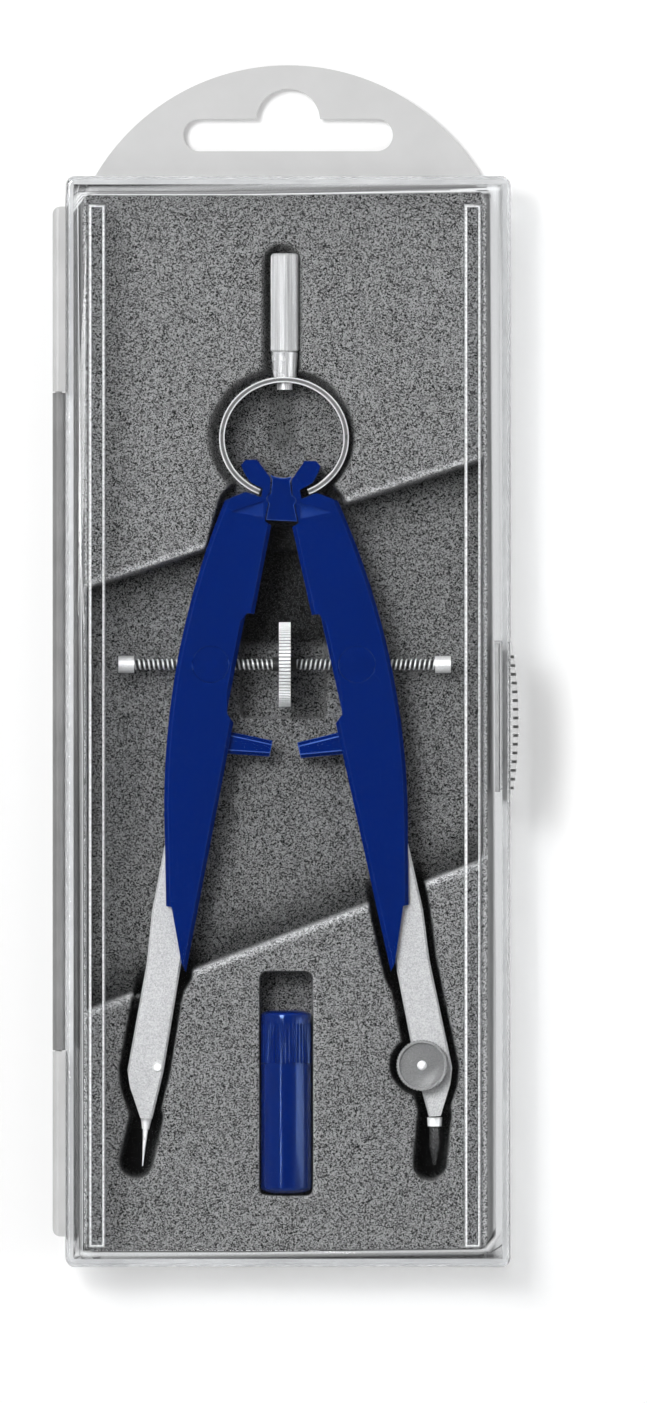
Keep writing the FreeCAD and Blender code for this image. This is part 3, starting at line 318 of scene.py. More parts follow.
# Painted highlight at the tray's ends, and a painted glow there
END_HIGHLIGHT_TONE = 0.9
END_PAINTED_GLOW = 0.22
# Painted highlight along the trough's long edges, and painted shade that grows towards them
EDGE_INSET = 0.3
EDGE_REACH = 1.7
SHADE_REACH = 10.0
UPPER_SHADE = 0.5
LOWER_SHADE = 0.35
ALONG_WIDTH = (1.0, 0.0, 0.0)
ALONG_LENGTH = (0.0, 1.0, 0.0)


def across_line(start, end):
    """Unit direction to the left of a line in plan, and the line's place along it."""
    along = Vector(end) - Vector(start)
    square = Vector((-along.y, along.x)).normalized()
    return (square.x, square.y, 0.0), square.dot(Vector(start))


def line_mask(tree, place, direction, offset, reach):
    """Band along a line that lies so far along a direction in plan."""
    return fill_group(tree, BAND, place, Direction=direction, Offset=offset * MM, Reach=reach * MM)


def outside_plate(tree, place, edges):
    """1 outside a rectangle in plan, given as left, right, low and high."""
    left, right, low, high = edges
    axes = add_node(tree, "ShaderNodeSeparateXYZ", {0: place}).outputs
    out = []
    for axis, start, end in (("X", left, right), ("Y", low, high)):
        away = combine(tree, "ABSOLUTE", combine(tree, "SUBTRACT", axes[axis], (start + end) / 2 * MM))
        out.append(combine(tree, "SUBTRACT", away, (end - start) / 2 * MM))
    return combine(tree, "GREATER_THAN", highest(tree, *out), 0.0)


def trough_highlight_and_shade(tree, place):
    """Painted highlight band along the trough's two long edges, and the painted shade that grows towards
    them.
    """
    bands = []
    fades = []
    for start, end, low in ((TROUGH[0], TROUGH[1], UPPER_SHADE), (TROUGH[2], TROUGH[3], LOWER_SHADE)):
        direction, offset = across_line(start, end)
        bands.append(line_mask(tree, place, direction, offset + EDGE_INSET, EDGE_REACH))
        fades.append(fill_group(
            tree, FADE, place, Direction=direction, Offset=offset * MM, Reach=SHADE_REACH * MM, Low=low,
        ))
    return highest(tree, *bands), combine(tree, "MULTIPLY", *fades)


def border_highlights(tree, place):
    """Painted highlight bands along the tray's sides, along its ends and on its right rim."""
    left = line_mask(tree, place, ALONG_WIDTH, LEFT_LINE, LINE_REACH)
    right = line_mask(tree, place, ALONG_WIDTH, RIGHT_LINE, LINE_REACH)
    top = line_mask(tree, place, ALONG_LENGTH, TOP_LINE, END_REACH)
    low = line_mask(tree, place, ALONG_LENGTH, LOW_LINE, END_REACH)
    rim = line_mask(tree, place, ALONG_WIDTH, RIGHT_RIM, RIM_REACH)
    return highest(tree, left, right), highest(tree, top, low), rim


def grey_flock():
    """Short grey fibres: a strong speckle, with painted highlights on formed edges and lines, painted shade
    in pockets and a painted glow at the ends; none on the skirt.
    """
    material, tree, output, place = start_material("grey_flock")
    fibres = add_node(tree, "ShaderNodeTexVoronoi", {
        "Vector": place, "Scale": FIBRE_SCALE, "Randomness": 1.0,
    })
    lot = add_node(tree, "ShaderNodeSeparateColor", {0: fibres.outputs["Color"]}).outputs["Red"]
    tuft = map_range(tree, lot, *TUFT_SPREAD)
    depth, pocket_shade, lip_highlight = (
        add_node(tree, "ShaderNodeAttribute", attribute_name=name).outputs["Fac"]
        for name in ("depth", "pocket_shade", "lip_highlight")
    )
    frayed = combine(tree, "MULTIPLY_ADD", combine(tree, "SUBTRACT", lot, 0.5), POCKET_SHADE_FRAY, pocket_shade)
    band, shade = trough_highlight_and_shade(tree, place)
    edge = combine(tree, "MULTIPLY", band, combine(tree, "SUBTRACT", 1.0, depth))
    sides, ends, rim = border_highlights(tree, place)
    # Painted shade: deeper places take darker fibres, darker still towards the trough's edges
    floor = add_node(tree, "ShaderNodeVectorMath", {
        0: mix_greys(tree, tuft, SHADED_FLOOR_TONES), "Scale": shade,
    }, operation="SCALE").outputs["Vector"]
    level = mix_colours(tree, depth, mix_greys(tree, tuft, TOP_TONES), floor)
    # Painted shade along the pocket walls, frayed by the fibres
    sunk = mix_colours(tree, map_range(tree, frayed, *POCKET_SHADE_SPREAD), level, grey(POCKET_SHADE_TONE))
    raised = mix_greys(tree, tuft, HIGHLIGHT_TONES)
    # Painted highlight on the trough's edges, the lit lips and the border lines
    formed = mix_colours(tree, highest(tree, edge, lip_highlight, sides, rim), sunk, raised)
    # Painted highlight: the plate is near white at its ends
    plate = mix_colours(tree, ends, formed, grey(END_HIGHLIGHT_TONE))
    # The skirt: its own grey, raised to a painted highlight along the border lines
    skirt = mix_greys(tree, highest(tree, sides, ends), SKIRT_AND_HIGHLIGHT_TONES)
    # Painted glow at the tray's ends, through the emission colour
    coat(tree, output, {
        "Base Color": mix_colours(tree, outside_plate(tree, place, TRAY_EDGES), plate, skirt),
        "Emission Color": mix_greys(tree, ends, (0.0, END_PAINTED_GLOW)), "Emission Strength": 1.0,
        "Roughness": 0.95, "Specular IOR Level": 0.05,
        "Normal": relief(tree, tuft, strength=0.5, depth=FIBRE_DEPTH),
    })
    return material


# Plastics


CLEAR_IOR = 1.5
BLUE_IOR = 1.49
DEEP_BLUES = ((0.0, 0.0084, 0.087, 1.0), (0.0001, 0.0092, 0.094, 1.0))
# Painted highlight: paler blues for the eased edges
EDGE_HIGHLIGHT_BLUES = ((0.03, 0.075, 0.30, 1.0), (0.05, 0.10, 0.36, 1.0))
# Painted highlight: paler blues for the flat facets of the legs' heads
FACET_HIGHLIGHT_BLUES = ((0.0, 0.0125, 0.118, 1.0), (0.0, 0.0135, 0.128, 1.0))
BLUE_GLINT = (0.32, 0.50, 1.0, 1.0)
SHEET_TONES = (0.565, 0.59)


def clear_plastic():
    """Injection-moulded clear styrene with a faint waviness; lamps shine through it."""
    material, tree, output, place = start_material("clear_plastic")
    waviness = fill_group(tree, GRAIN, place, Scale=60.0)
    rub = fill_group(tree, GRAIN, place, Scale=900.0, Low=0.015, High=0.045)
    glass = result_of(tree, "ShaderNodeBsdfPrincipled", {
        "Base Color": (0.97, 0.975, 0.98, 1.0), "IOR": CLEAR_IOR, "Transmission Weight": 1.0,
        "Roughness": rub, "Normal": relief(tree, waviness, strength=0.004, depth=0.1),
    })
    through = result_of(tree, "ShaderNodeBsdfTransparent", {"Color": (0.86, 0.865, 0.87, 1.0)})
    lamp_ray = add_node(tree, "ShaderNodeLightPath").outputs["Is Shadow Ray"]
    surface = result_of(tree, "ShaderNodeMixShader", {0: lamp_ray, 1: glass, 2: through})
    depth = result_of(tree, "ShaderNodeVolumeAbsorption", {"Color": (0.55, 0.56, 0.57, 1.0), "Density": 22.0})
    tree.links.new(surface, output.inputs["Surface"])
    tree.links.new(depth, output.inputs["Volume"])
    return material


def frosted_plastic():
    """Milky sheet with a fine matt grain."""
    material, tree, output, place = start_material("frosted_plastic")
    grain = fill_group(tree, GRAIN, place, Scale=1500.0)
    cloud = fill_group(tree, GRAIN, place, Scale=140.0)
    coat(tree, output, {
        "Base Color": mix_greys(tree, cloud, SHEET_TONES), "Roughness": 0.42, "IOR": CLEAR_IOR,
        "Normal": relief(tree, grain, strength=0.15, depth=0.03),
    })
    return material


def milky_plastic(name, tones, gloss=0.5):
    """Thick clear plastic of hinge, latch and thumb grip, which shows as a pale grey between two tones."""
    material, tree, output, place = start_material(name)
    cloud = fill_group(tree, GRAIN, place, Scale=90.0)
    rub = fill_group(tree, GRAIN, place, Scale=1200.0, Low=0.14, High=0.26)
    coat(tree, output, {
        "Base Color": mix_greys(tree, cloud, tones), "Roughness": rub, "IOR": CLEAR_IOR, "Alpha": 0.9,
        "Specular IOR Level": gloss,
    })
    return material


def painted_edge_highlight():
    """Painted highlight: white grain on the edge of the clear plastic, where a tight radius gathers the light
    into a white line.
    """
    material, tree, output, place = start_material("painted_edge_highlight")
    grain = fill_group(tree, GRAIN, place, Scale=3000.0, Low=0.5, High=1.0)
    coat(tree, output, {"Base Color": grey(0.95), "Roughness": 0.3, "Alpha": grain})
    return material


def blue_plastic(name, blues, smooth, rough, gloss):
    """Deep blue moulded plastic with a slight spark-eroded grain, between two tones and two roughnesses."""
    material, tree, output, place = start_material(name)
    grain = fill_group(tree, GRAIN, place, Scale=2600.0)
    cloud = fill_group(tree, GRAIN, place, Scale=180.0, Low=smooth, High=rough)
    coat(tree, output, {
        "Base Color": mix_colours(tree, grain, *blues), "Roughness": cloud, "IOR": BLUE_IOR,
        "Specular IOR Level": gloss, "Specular Tint": BLUE_GLINT,
        "Normal": relief(tree, grain, strength=0.02, depth=0.02),
    })
    return material


# Metals and lead; the axes of a painted shade band say which of X, Y and Z its radius is measured across


AROUND_X = (0.0, 1.0, 1.0)
SPINDLE_AXIS = (0.0, SPINDLE_Y, MID_HEIGHT)
# Painted shade at the roots of the wheel's knurl
WHEEL_ROOT_SHADE = {
    "centre": SPINDLE_AXIS, "axes": AROUND_X, "middle": 0.0, "floor": WHEEL_ROOT, "crest": WHEEL_CREST,
    "tone": 0.03,
}
# Painted shade at the root of the spindle's thread
THREAD_ROOT_SHADE = {
    "centre": SPINDLE_AXIS, "axes": AROUND_X, "middle": 0.0, "floor": THREAD_ROOT, "crest": THREAD_FLANK,
    "tone": 0.03,
}
# Painted shade: a dark band along the middle of the ring band's top, between its lit edges
RING_MIDDLE_SHADE = {
    "centre": (*RING_CENTRE, 0.0), "axes": (1.0, RING_RADIUS_X / RING_RADIUS_Y, 0.0),
    "middle": RING_RADIUS_X, "floor": 0.18, "crest": 0.42, "tone": 0.08,
}
NICKEL_TONES = ((0.72, 0.715, 0.70, 1.0), (0.84, 0.835, 0.82, 1.0))
CONE_LINES = (1700.0, 30.0, 700.0)
GRIP_LINES = (3600.0, 40.0, 900.0)
SPRING_LINES = (400.0, 400.0, 4000.0)
LEAD_TONES = (0.012, 0.04)
SHINIER = 0.05
DULLER = 0.06


def spring_nickel():
    """Bright nickel plate over drawn metal."""
    material, tree, output, place = start_material("nickel_spring")
    lines = fill_group(tree, DRAWN, place, Stretch=SPRING_LINES, Low=0.10, High=0.16)
    tarnish = fill_group(tree, GRAIN, place, Scale=420.0)
    coat(tree, output, {
        "Base Color": mix_colours(tree, tarnish, *NICKEL_TONES), "Metallic": 1.0, "Roughness": lines,
        "Normal": relief(tree, lines, strength=0.08, depth=0.02),
    })
    return material


def satin_steel(name, tones, metallic=0.2, roughness=0.45, groove_shade=None, stretch=None):
    """Matt metal with a tight grain or drawn lines between two greys, and a band of painted shade at a given
    radius where it has one.
    """
    material, tree, output, place = start_material(name)
    if stretch:
        grain = fill_group(tree, DRAWN, place, Stretch=stretch)
    else:
        grain = fill_group(tree, GRAIN, place, Scale=4200.0)
    cloud = fill_group(tree, GRAIN, place, Scale=220.0, Low=roughness - SHINIER, High=roughness + DULLER)
    tone = mix_greys(tree, grain, tones)
    if groove_shade:
        centre = tuple(MM * value for value in groove_shade["centre"])
        ridge = fill_group(
            tree, GROOVE_SHADE, place, Centre=centre, Across=groove_shade["axes"], Middle=groove_shade["middle"] * MM,
            Floor=groove_shade["floor"] * MM, Crest=groove_shade["crest"] * MM,
        )
        # Painted shade: a dark tone at the given radius, where the shade of a recess falls
        tone = mix_colours(tree, ridge, grey(groove_shade["tone"]), tone)
    coat(tree, output, {
        "Base Color": tone, "Metallic": metallic, "Roughness": cloud,
        "Normal": relief(tree, grain, strength=0.1, depth=0.03),
    })
    return material


def graphite():
    """Dark drawing lead with a greasy gloss."""
    material, tree, output, place = start_material("graphite")
    grain = fill_group(tree, GRAIN, place, Scale=3600.0)
    coat(tree, output, {
        "Base Color": mix_greys(tree, grain, LEAD_TONES), "Roughness": 0.2, "Specular IOR Level": 0.9,
        "Normal": relief(tree, grain, strength=0.2, depth=0.02),
    })
    return material


FLOCK = grey_flock()
CLEAR = clear_plastic()
FROSTED = frosted_plastic()
LUG_PLASTIC = milky_plastic("lug_plastic", (0.56, 0.67))
# Painted shade: the hinge barrel is the lugs' clear plastic in a darker grey, as it lies in the lid's shade
BARREL_SHADED_PLASTIC = milky_plastic("barrel_shaded_plastic", (0.21, 0.29))
CATCH_PLASTIC = milky_plastic("catch_plastic", (0.38, 0.44), gloss=0.08)
RIB_PLASTIC = milky_plastic("rib_plastic", (0.46, 0.54))
RIM_PLASTIC = milky_plastic("rim_plastic", (0.42, 0.50))
# Painted highlight on the fillets of the lid's rails
PAINTED_EDGE_HIGHLIGHT = painted_edge_highlight()
BLUE_LEG = blue_plastic("blue_leg_plastic", DEEP_BLUES, smooth=0.25, rough=0.27, gloss=0.05)
# Painted highlight: paler blue for the eased edges of the blue pieces
BLUE_EDGE_HIGHLIGHT = blue_plastic("blue_edge_highlight_plastic", EDGE_HIGHLIGHT_BLUES, smooth=0.2, rough=0.3, gloss=0.5)
# Painted highlight: paler blue for the flat facets of the legs' heads
BLUE_FACET_HIGHLIGHT = blue_plastic("blue_facet_highlight_plastic", FACET_HIGHLIGHT_BLUES, smooth=0.3, rough=0.4, gloss=0.2)
BLUE_BOX = blue_plastic("blue_box_plastic", DEEP_BLUES, smooth=0.10, rough=0.13, gloss=1.0)
NICKEL_SPRING = spring_nickel()
NICKEL_CONE = satin_steel("nickel_cone", (0.22, 0.88), metallic=0.4, roughness=0.25, stretch=CONE_LINES)
NICKEL_GRIP = satin_steel("nickel_grip", (0.34, 0.66), metallic=0.3, roughness=0.36, stretch=GRIP_LINES)
# Painted shade along the middle of the ring band's top
NICKEL_RING = satin_steel("nickel_ring", (0.62, 0.72), metallic=0.1, roughness=0.3, groove_shade=RING_MIDDLE_SHADE)
# Painted shade at the roots of the knurl and of the thread
NICKEL_WHEEL = satin_steel("nickel_wheel", (0.75, 0.9), metallic=0.5, roughness=0.35, groove_shade=WHEEL_ROOT_SHADE)
NICKEL_THREAD = satin_steel("nickel_thread", (0.75, 0.9), metallic=0.5, roughness=0.3, groove_shade=THREAD_ROOT_SHADE)
BRIGHT_NICKEL = satin_steel("bright_nickel", (0.82, 0.93), metallic=0.3, roughness=0.3)
SATIN_ARM = satin_steel("satin_arm", (0.29, 0.48))
SATIN_DISC = satin_steel("satin_disc", (0.10, 0.16))
SATIN_RIM = satin_steel("satin_rim", (0.16, 0.24))
SATIN_NICKEL = satin_steel("satin_nickel", (0.62, 0.78), metallic=0.5)
GRAPHITE = graphite()


# Meshes


EASED_ANGLE = math.radians(32.0)
FLAT_ANGLE = math.radians(0.5)
MERGE_REACH = 0.001
EASED_SEGMENTS = 2


def mesh_piece(name, vertices, faces, material, smooth=True):
    """Piece at the origin from points in millimetres."""
    mesh = bpy.data.meshes.new(name)
    mesh.from_pydata([tuple(MM * value for value in point) for point in vertices], [], faces)
    mesh.materials.append(material)
    piece = bpy.data.objects.new(name, mesh)
    bpy.context.collection.objects.link(piece)
    if smooth:
        mesh.polygons.foreach_set("use_smooth", [True] * len(mesh.polygons))
    return piece


def settle(piece):
    """Turns a piece with live modifiers into a plain mesh of the same name."""
    evaluated = piece.evaluated_get(bpy.context.evaluated_depsgraph_get())
    mesh = bpy.data.meshes.new_from_object(evaluated)
    piece.modifiers.clear()
    piece.data = mesh
    return piece


def dressed_copy(node, name, body, slot, materials, choose, edge_width, edge_finish=-1):
    """Copy of a solid with eased edges. Each face chooses its finish; the edges may have their own."""
    solid = bmesh.new()
    solid.from_mesh(NODES[node].data)
    bmesh.ops.remove_doubles(solid, verts=solid.verts, dist=MERGE_REACH * MM)
    bmesh.ops.dissolve_limit(solid, angle_limit=FLAT_ANGLE, verts=solid.verts, edges=solid.edges)
    for face in solid.faces:
        face.material_index = choose(face)
        face.smooth = True
    mesh = bpy.data.meshes.new(name)
    solid.to_mesh(mesh)
    solid.free()
    for material in materials:
        mesh.materials.append(material)
    mesh.set_sharp_from_angle(angle=EASED_ANGLE)
    piece = bpy.data.objects.new(name, mesh)
    bpy.context.collection.objects.link(piece)
    eased = piece.modifiers.new("eased", "BEVEL")
    eased.width = edge_width * MM
    eased.segments = EASED_SEGMENTS
    eased.limit_method = "ANGLE"
    eased.angle_limit = EASED_ANGLE
    eased.material = edge_finish
    eased.harden_normals = True
    settle(piece)
    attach(piece, body)
    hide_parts(node)


def finish_tree(tree, shape, material, result):
    """Ends a geometry tree with plain faces and their material."""
    solid = result_of(tree, "GeometryNodeRealizeInstances", {"Geometry": shape})
    dressed = result_of(tree, "GeometryNodeSetMaterial", {"Geometry": solid, "Material": material})
    tree.links.new(dressed, result["Geometry"])


def grow(name, tree, values, material):
    """Mesh piece from a geometry tree; values are set by the identifiers of its inputs."""
    piece = mesh_piece(name, [], [], material)
    modifier = piece.modifiers.new(name, "NODES")
    modifier.node_group = tree
    for item in tree.interface.items_tree:
        if item.item_type == "SOCKET" and item.in_out == "INPUT" and item.name in values:
            modifier[item.identifier] = values[item.name]
    return settle(piece)


# Outlines in plan, as signed distances, negative inside


def disc_distance(x, y, centre, radius):
    return np.hypot(x - centre[0], y - centre[1]) - radius


def edge_distance(x, y, start, end):
    """Distance from a straight edge."""
    along_x = end[0] - start[0]
    along_y = end[1] - start[1]
    share = ((x - start[0]) * along_x + (y - start[1]) * along_y) / (along_x ** 2 + along_y ** 2)
    share = np.clip(share, 0.0, 1.0)
    return np.hypot(x - start[0] - share * along_x, y - start[1] - share * along_y)


def bar_distance(x, y, start, end, radius):
    """Straight slot with round ends."""
    return edge_distance(x, y, start, end) - radius


def plate_distance(x, y, edges, corner):
    """Rectangle with round corners, given as left, right, low and high."""
    left, right, low, high = edges
    out_x = np.abs(x - (left + right) / 2) - (right - left) / 2 + corner
    out_y = np.abs(y - (low + high) / 2) - (high - low) / 2 + corner
    outside = np.hypot(np.maximum(out_x, 0.0), np.maximum(out_y, 0.0))
    return outside + np.minimum(np.maximum(out_x, out_y), 0.0) - corner


def outline_distance(x, y, points):
    """Closed outline of straight edges."""
    nearest = np.full(x.shape, np.inf)
    inside = np.zeros(x.shape, bool)
    for (ax, ay), (bx, by) in zip(points, points[1:] + points[:1]):
        nearest = np.minimum(nearest, edge_distance(x, y, (ax, ay), (bx, by)))
        crosses = (ay > y) != (by > y)
        with np.errstate(divide="ignore", invalid="ignore"):
            inside ^= crosses & (x < (bx - ax) * (y - ay) / (by - ay) + ax)
    return np.where(inside, -nearest, nearest)


# Legs, as the compass lies: side, rocker pivot and angle from the handle's line


class Leg:
    """Frame of one leg: millimetres outwards and down the leg from its rocker pivot."""

    def __init__(self, side, pivot, angle):
        self.side = side
        self.pivot = pivot
        self.cos = math.cos(math.radians(angle))
        self.sin = math.sin(math.radians(angle))

    def plan(self, out, down):
        """Place in plan of a point of the leg."""
        return (
            self.pivot[0] + self.side * (out * self.cos + down * self.sin),
            self.pivot[1] + out * self.sin - down * self.cos,
        )

    def outline(self, pairs):
        """Outline in plan from points of the leg."""
        return [self.plan(out, down) for out, down in pairs]


LEFT = Leg(side=-1, pivot=(-2.9, 40.07), angle=10.8)
RIGHT = Leg(side=1, pivot=(0.55, 39.73), angle=12.5)


# Flocked tray: pockets in plan; the rooms and seats of the arms are in the frames of their legs


TRAY_INSIDE = (-36.2, 34.9, -94.6, 94.8)
TROUGH_CORNER = 1.2
HEAD_ROOM = [
    (-16.4, 26.0), (-14.2, 32.1), (-11.9, 40.4), (-9.0, 43.6),
    (7.0, 43.6), (9.8, 40.4), (13.0, 33.4), (15.6, 26.0),
]
HANDLE_ENDS = ((-1.0, 51.0), (-1.0, 82.4))
HANDLE_ROOM = 3.0
# Painted shade along the handle's pocket
HANDLE_SHADE = 0.3
RING_ROOM_MIDDLE = (-1.1, 51.2)
RING_ROOM = 12.5
RING_SQUASH = 1.05
WHEEL_ROOM = (-8.5, 7.0, 0.5, 31.0)
WHEEL_CORNER = 1.2
FORK_ROOM = (-10.0, 8.5, 13.5, 36.0)
FORK_CORNER = 2.0
# Painted shade under the fork of the legs, above the wheel
FORK_SHADE = 0.62
BOX_ROOM = (-5.02, 4.42, -85.1, -45.0)
BOX_CORNER = 1.3
# Painted highlight on the lit lips of the lead box's pocket
BOX_LIP_HIGHLIGHT = 0.5
CLAMP_ROOM_SHIFT = -0.3
CLAMP_ROOM_MIDDLE = (CLAMP[0] + CLAMP_ROOM_SHIFT, CLAMP[1])
CLAMP_ROOM = 5.2
LEFT_ARM_ROOM = [
    (-1.9, 60.0), (-1.9, 87.6), (-0.85, 90.0), (-1.2, 105.0), (-0.85, 112.5), (0.2, 115.1), (3.0, 115.2),
    (6.5, 109.4), (7.5, 105.8), (7.7, 86.0), (8.5, 77.0), (9.0, 60.0),
]
RIGHT_ARM_ROOM = [
    (-1.9, 60.0), (-1.9, 87.6), (-1.2, 90.0), (-1.5, 105.0), (-1.2, 112.5), (0.0, 115.0), (2.8, 115.0),
    (6.2, 108.9), (7.25, 105.8), (7.5, 86.0), (8.3, 77.0), (9.0, 60.0),
]
POINT_START = (1.25, 113.5)
LEFT_POINT_END = (-27.2, -79.0)
RIGHT_POINT_END = (25.5, -79.35)
POINT_ROOM = 2.85
ARM_SEAT = [(-1.2, 92.0), (7.4, 92.0), (7.4, 95.0), (-1.2, 95.0)]
SEAT_TOP = 8.2

# Form of the tray: half widths of its walls in plan, its skirt, its sheet and its mesh
WALL_DRAFT = 0.45
STEEP_DRAFT = 0.25
SOFT_DRAFT = 0.9
BOX_DRAFT = 0.15
SLOT_RUN_OUT = 4.0
TRAY_CORNER = 2.0
SKIRT_DRAFT = 0.6
SKIRT_DRAFT_SIDES = 1.3
SKIRT_BEND = 1.5
TRAY_SHEET = 0.6
TRAY_COLUMNS = 181
TRAY_ROWS = 461
FINE_STEP = 0.12
FINE_COLUMNS = ((-5.4, -4.6), (4.0, 4.8))
FINE_ROWS = ((-85.5, -84.7), (-45.4, -44.6))
KEPT_SHARE = 0.4

# Painted highlight on the lit lips and painted shade in the dark pits of the pockets; the side of a pocket
# towards KEY_SIDE faces the key lamp
LIP_HIGHLIGHT_REACH = 0.4
POCKET_SHADE_REACH = 2.0
POCKET_SHADE_INSET = 0.35
KEY_SIDE = (0.68, -0.73)


def tray_pockets(x, y):
    """Every pocket's distance over the plan, floor height, draft, and strengths of its lips' painted
    highlight and of its painted shade.
    """
    trough = outline_distance(x, y, TROUGH)
    inside = plate_distance(x, y, TRAY_INSIDE, TROUGH_CORNER)
    ring_y = RING_ROOM_MIDDLE[1] + (y - RING_ROOM_MIDDLE[1]) * RING_SQUASH
    # The last two values of each pocket: strength of its lips' painted highlight and of its painted shade
    yield np.maximum(trough, inside), TROUGH_FLOOR, WALL_DRAFT, 0.0, 0.0
    yield outline_distance(x, y, HEAD_ROOM), TROUGH_FLOOR, WALL_DRAFT, 0.0, 0.0
    yield bar_distance(x, y, *HANDLE_ENDS, HANDLE_ROOM), HANDLE_FLOOR, SOFT_DRAFT, 0.0, HANDLE_SHADE
    yield disc_distance(x, ring_y, RING_ROOM_MIDDLE, RING_ROOM), RING_FLOOR, SOFT_DRAFT, 0.0, 0.0
    yield plate_distance(x, y, WHEEL_ROOM, WHEEL_CORNER), WHEEL_FLOOR, WALL_DRAFT, 0.0, 0.0
    yield plate_distance(x, y, FORK_ROOM, FORK_CORNER), TROUGH_FLOOR, WALL_DRAFT, 0.0, FORK_SHADE
    yield plate_distance(x, y, BOX_ROOM, BOX_CORNER), BOX_FLOOR, BOX_DRAFT, BOX_LIP_HIGHLIGHT, 0.0
    yield disc_distance(x, y, CLAMP_ROOM_MIDDLE, CLAMP_ROOM), SLOT_FLOOR, STEEP_DRAFT, 0.0, 1.0
    in_trough = np.clip(-trough / SLOT_RUN_OUT, 0.0, 1.0)
    arm_floor = SLOT_FLOOR + (TROUGH_FLOOR - SLOT_FLOOR) * in_trough
    for leg, room, point_end in (
        (LEFT, LEFT_ARM_ROOM, LEFT_POINT_END),
        (RIGHT, RIGHT_ARM_ROOM, RIGHT_POINT_END),
    ):
        point_start = leg.plan(*POINT_START)
        yield outline_distance(x, y, leg.outline(room)), arm_floor, STEEP_DRAFT, 0.0, 1.0 - in_trough
        yield bar_distance(x, y, point_start, point_end, POINT_ROOM), SLOT_FLOOR, STEEP_DRAFT, 0.0, 1.0


def tray_lines(start, end, count, fine_spans):
    """Even lines of the tray's mesh, and closer ones around the lead box."""
    lines = [np.linspace(start, end, count)]
    lines += [np.arange(*span, FINE_STEP) for span in fine_spans]
    return np.unique(np.concatenate(lines))


def form_tray(columns, rows):
    """Points of the formed sheet over the plan, and how deep each one is, with its painted shade and painted
    highlight.
    """
    x, y = np.meshgrid(columns, rows)
    height = np.full(x.shape, TRAY_TOP)
    pocket_shade = np.zeros(x.shape)
    lip_highlight = np.zeros(x.shape)
    for distance, floor, draft, highlight_strength, shade_strength in tray_pockets(x, y):
        share = np.clip((distance + draft) / (2 * draft), 0.0, 1.0)
        wall = floor + (TRAY_TOP - floor) * share * share * (3.0 - 2.0 * share)
        height = np.minimum(height, wall)
        # Painted shade close to each pocket's wall
        pocket_shade = np.maximum(pocket_shade, shade_strength * np.clip(0.5 - (distance + POCKET_SHADE_INSET) / POCKET_SHADE_REACH, 0.0, 1.0))
        slope_y, slope_x = np.gradient(distance, rows, columns)
        lit = np.clip(KEY_SIDE[0] * slope_x + KEY_SIDE[1] * slope_y, 0.0, 1.0)
        # Painted highlight on the lips that face the key lamp
        lip_highlight = np.maximum(lip_highlight, highlight_strength * lit * np.exp(-(((distance - draft) / LIP_HIGHLIGHT_REACH) ** 2)))
    for leg in (LEFT, RIGHT):
        seat = outline_distance(x, y, leg.outline(ARM_SEAT)) < 0.0
        height = np.where(seat, np.maximum(height, SEAT_TOP), height)
    depth = np.clip((TRAY_TOP - height) / (TRAY_TOP - TROUGH_FLOOR), 0.0, 1.0)
    inner_x = np.clip(x, *TRAY_EDGES[:2])
    drawn_in = inner_x + (x - inner_x) * SKIRT_DRAFT / SKIRT_DRAFT_SIDES
    border = plate_distance(drawn_in, y, TRAY_EDGES, TRAY_CORNER)
    out = np.clip(border / SKIRT_DRAFT, 0.0, 1.0)
    height = np.minimum(height, TRAY_TOP - (TRAY_TOP - CASE_FLOOR) * out ** SKIRT_BEND)
    points = np.column_stack([x.ravel(), y.ravel(), height.ravel()])
    return points, {"depth": depth, "pocket_shade": pocket_shade, "lip_highlight": lip_highlight * (1.0 - depth)}


def make_flocked_tray():
    """Thin formed sheet with drafted walls and soft rims around every pocket."""
    left, right, low, high = TRAY_EDGES
    columns = tray_lines(left - SKIRT_DRAFT_SIDES, right + SKIRT_DRAFT_SIDES, TRAY_COLUMNS, FINE_COLUMNS)
    rows = tray_lines(low - SKIRT_DRAFT, high + SKIRT_DRAFT, TRAY_ROWS, FINE_ROWS)
    points, marks = form_tray(columns, rows)
    width = len(columns)
    faces = []
    for row in range(len(rows) - 1):
        for corner in range(row * width, (row + 1) * width - 1):
            faces.append((corner, corner + 1, corner + width + 1, corner + width))
    tray = mesh_piece("flocked_tray", points.tolist(), faces, FLOCK)
    for name, values in marks.items():
        tray.data.attributes.new(name, "FLOAT", "POINT").data.foreach_set("value", values.ravel())
    thin = tray.modifiers.new("thin", "DECIMATE")
    thin.ratio = KEPT_SHARE
    wall = tray.modifiers.new("wall", "SOLIDIFY")
    wall.thickness = TRAY_SHEET * MM
    wall.offset = -1.0
    settle(tray)
    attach(tray, "case")
    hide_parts("insert_tray")


# Lead box and grip, turned about axes along Y; their flutes are depths around the axis, repeated


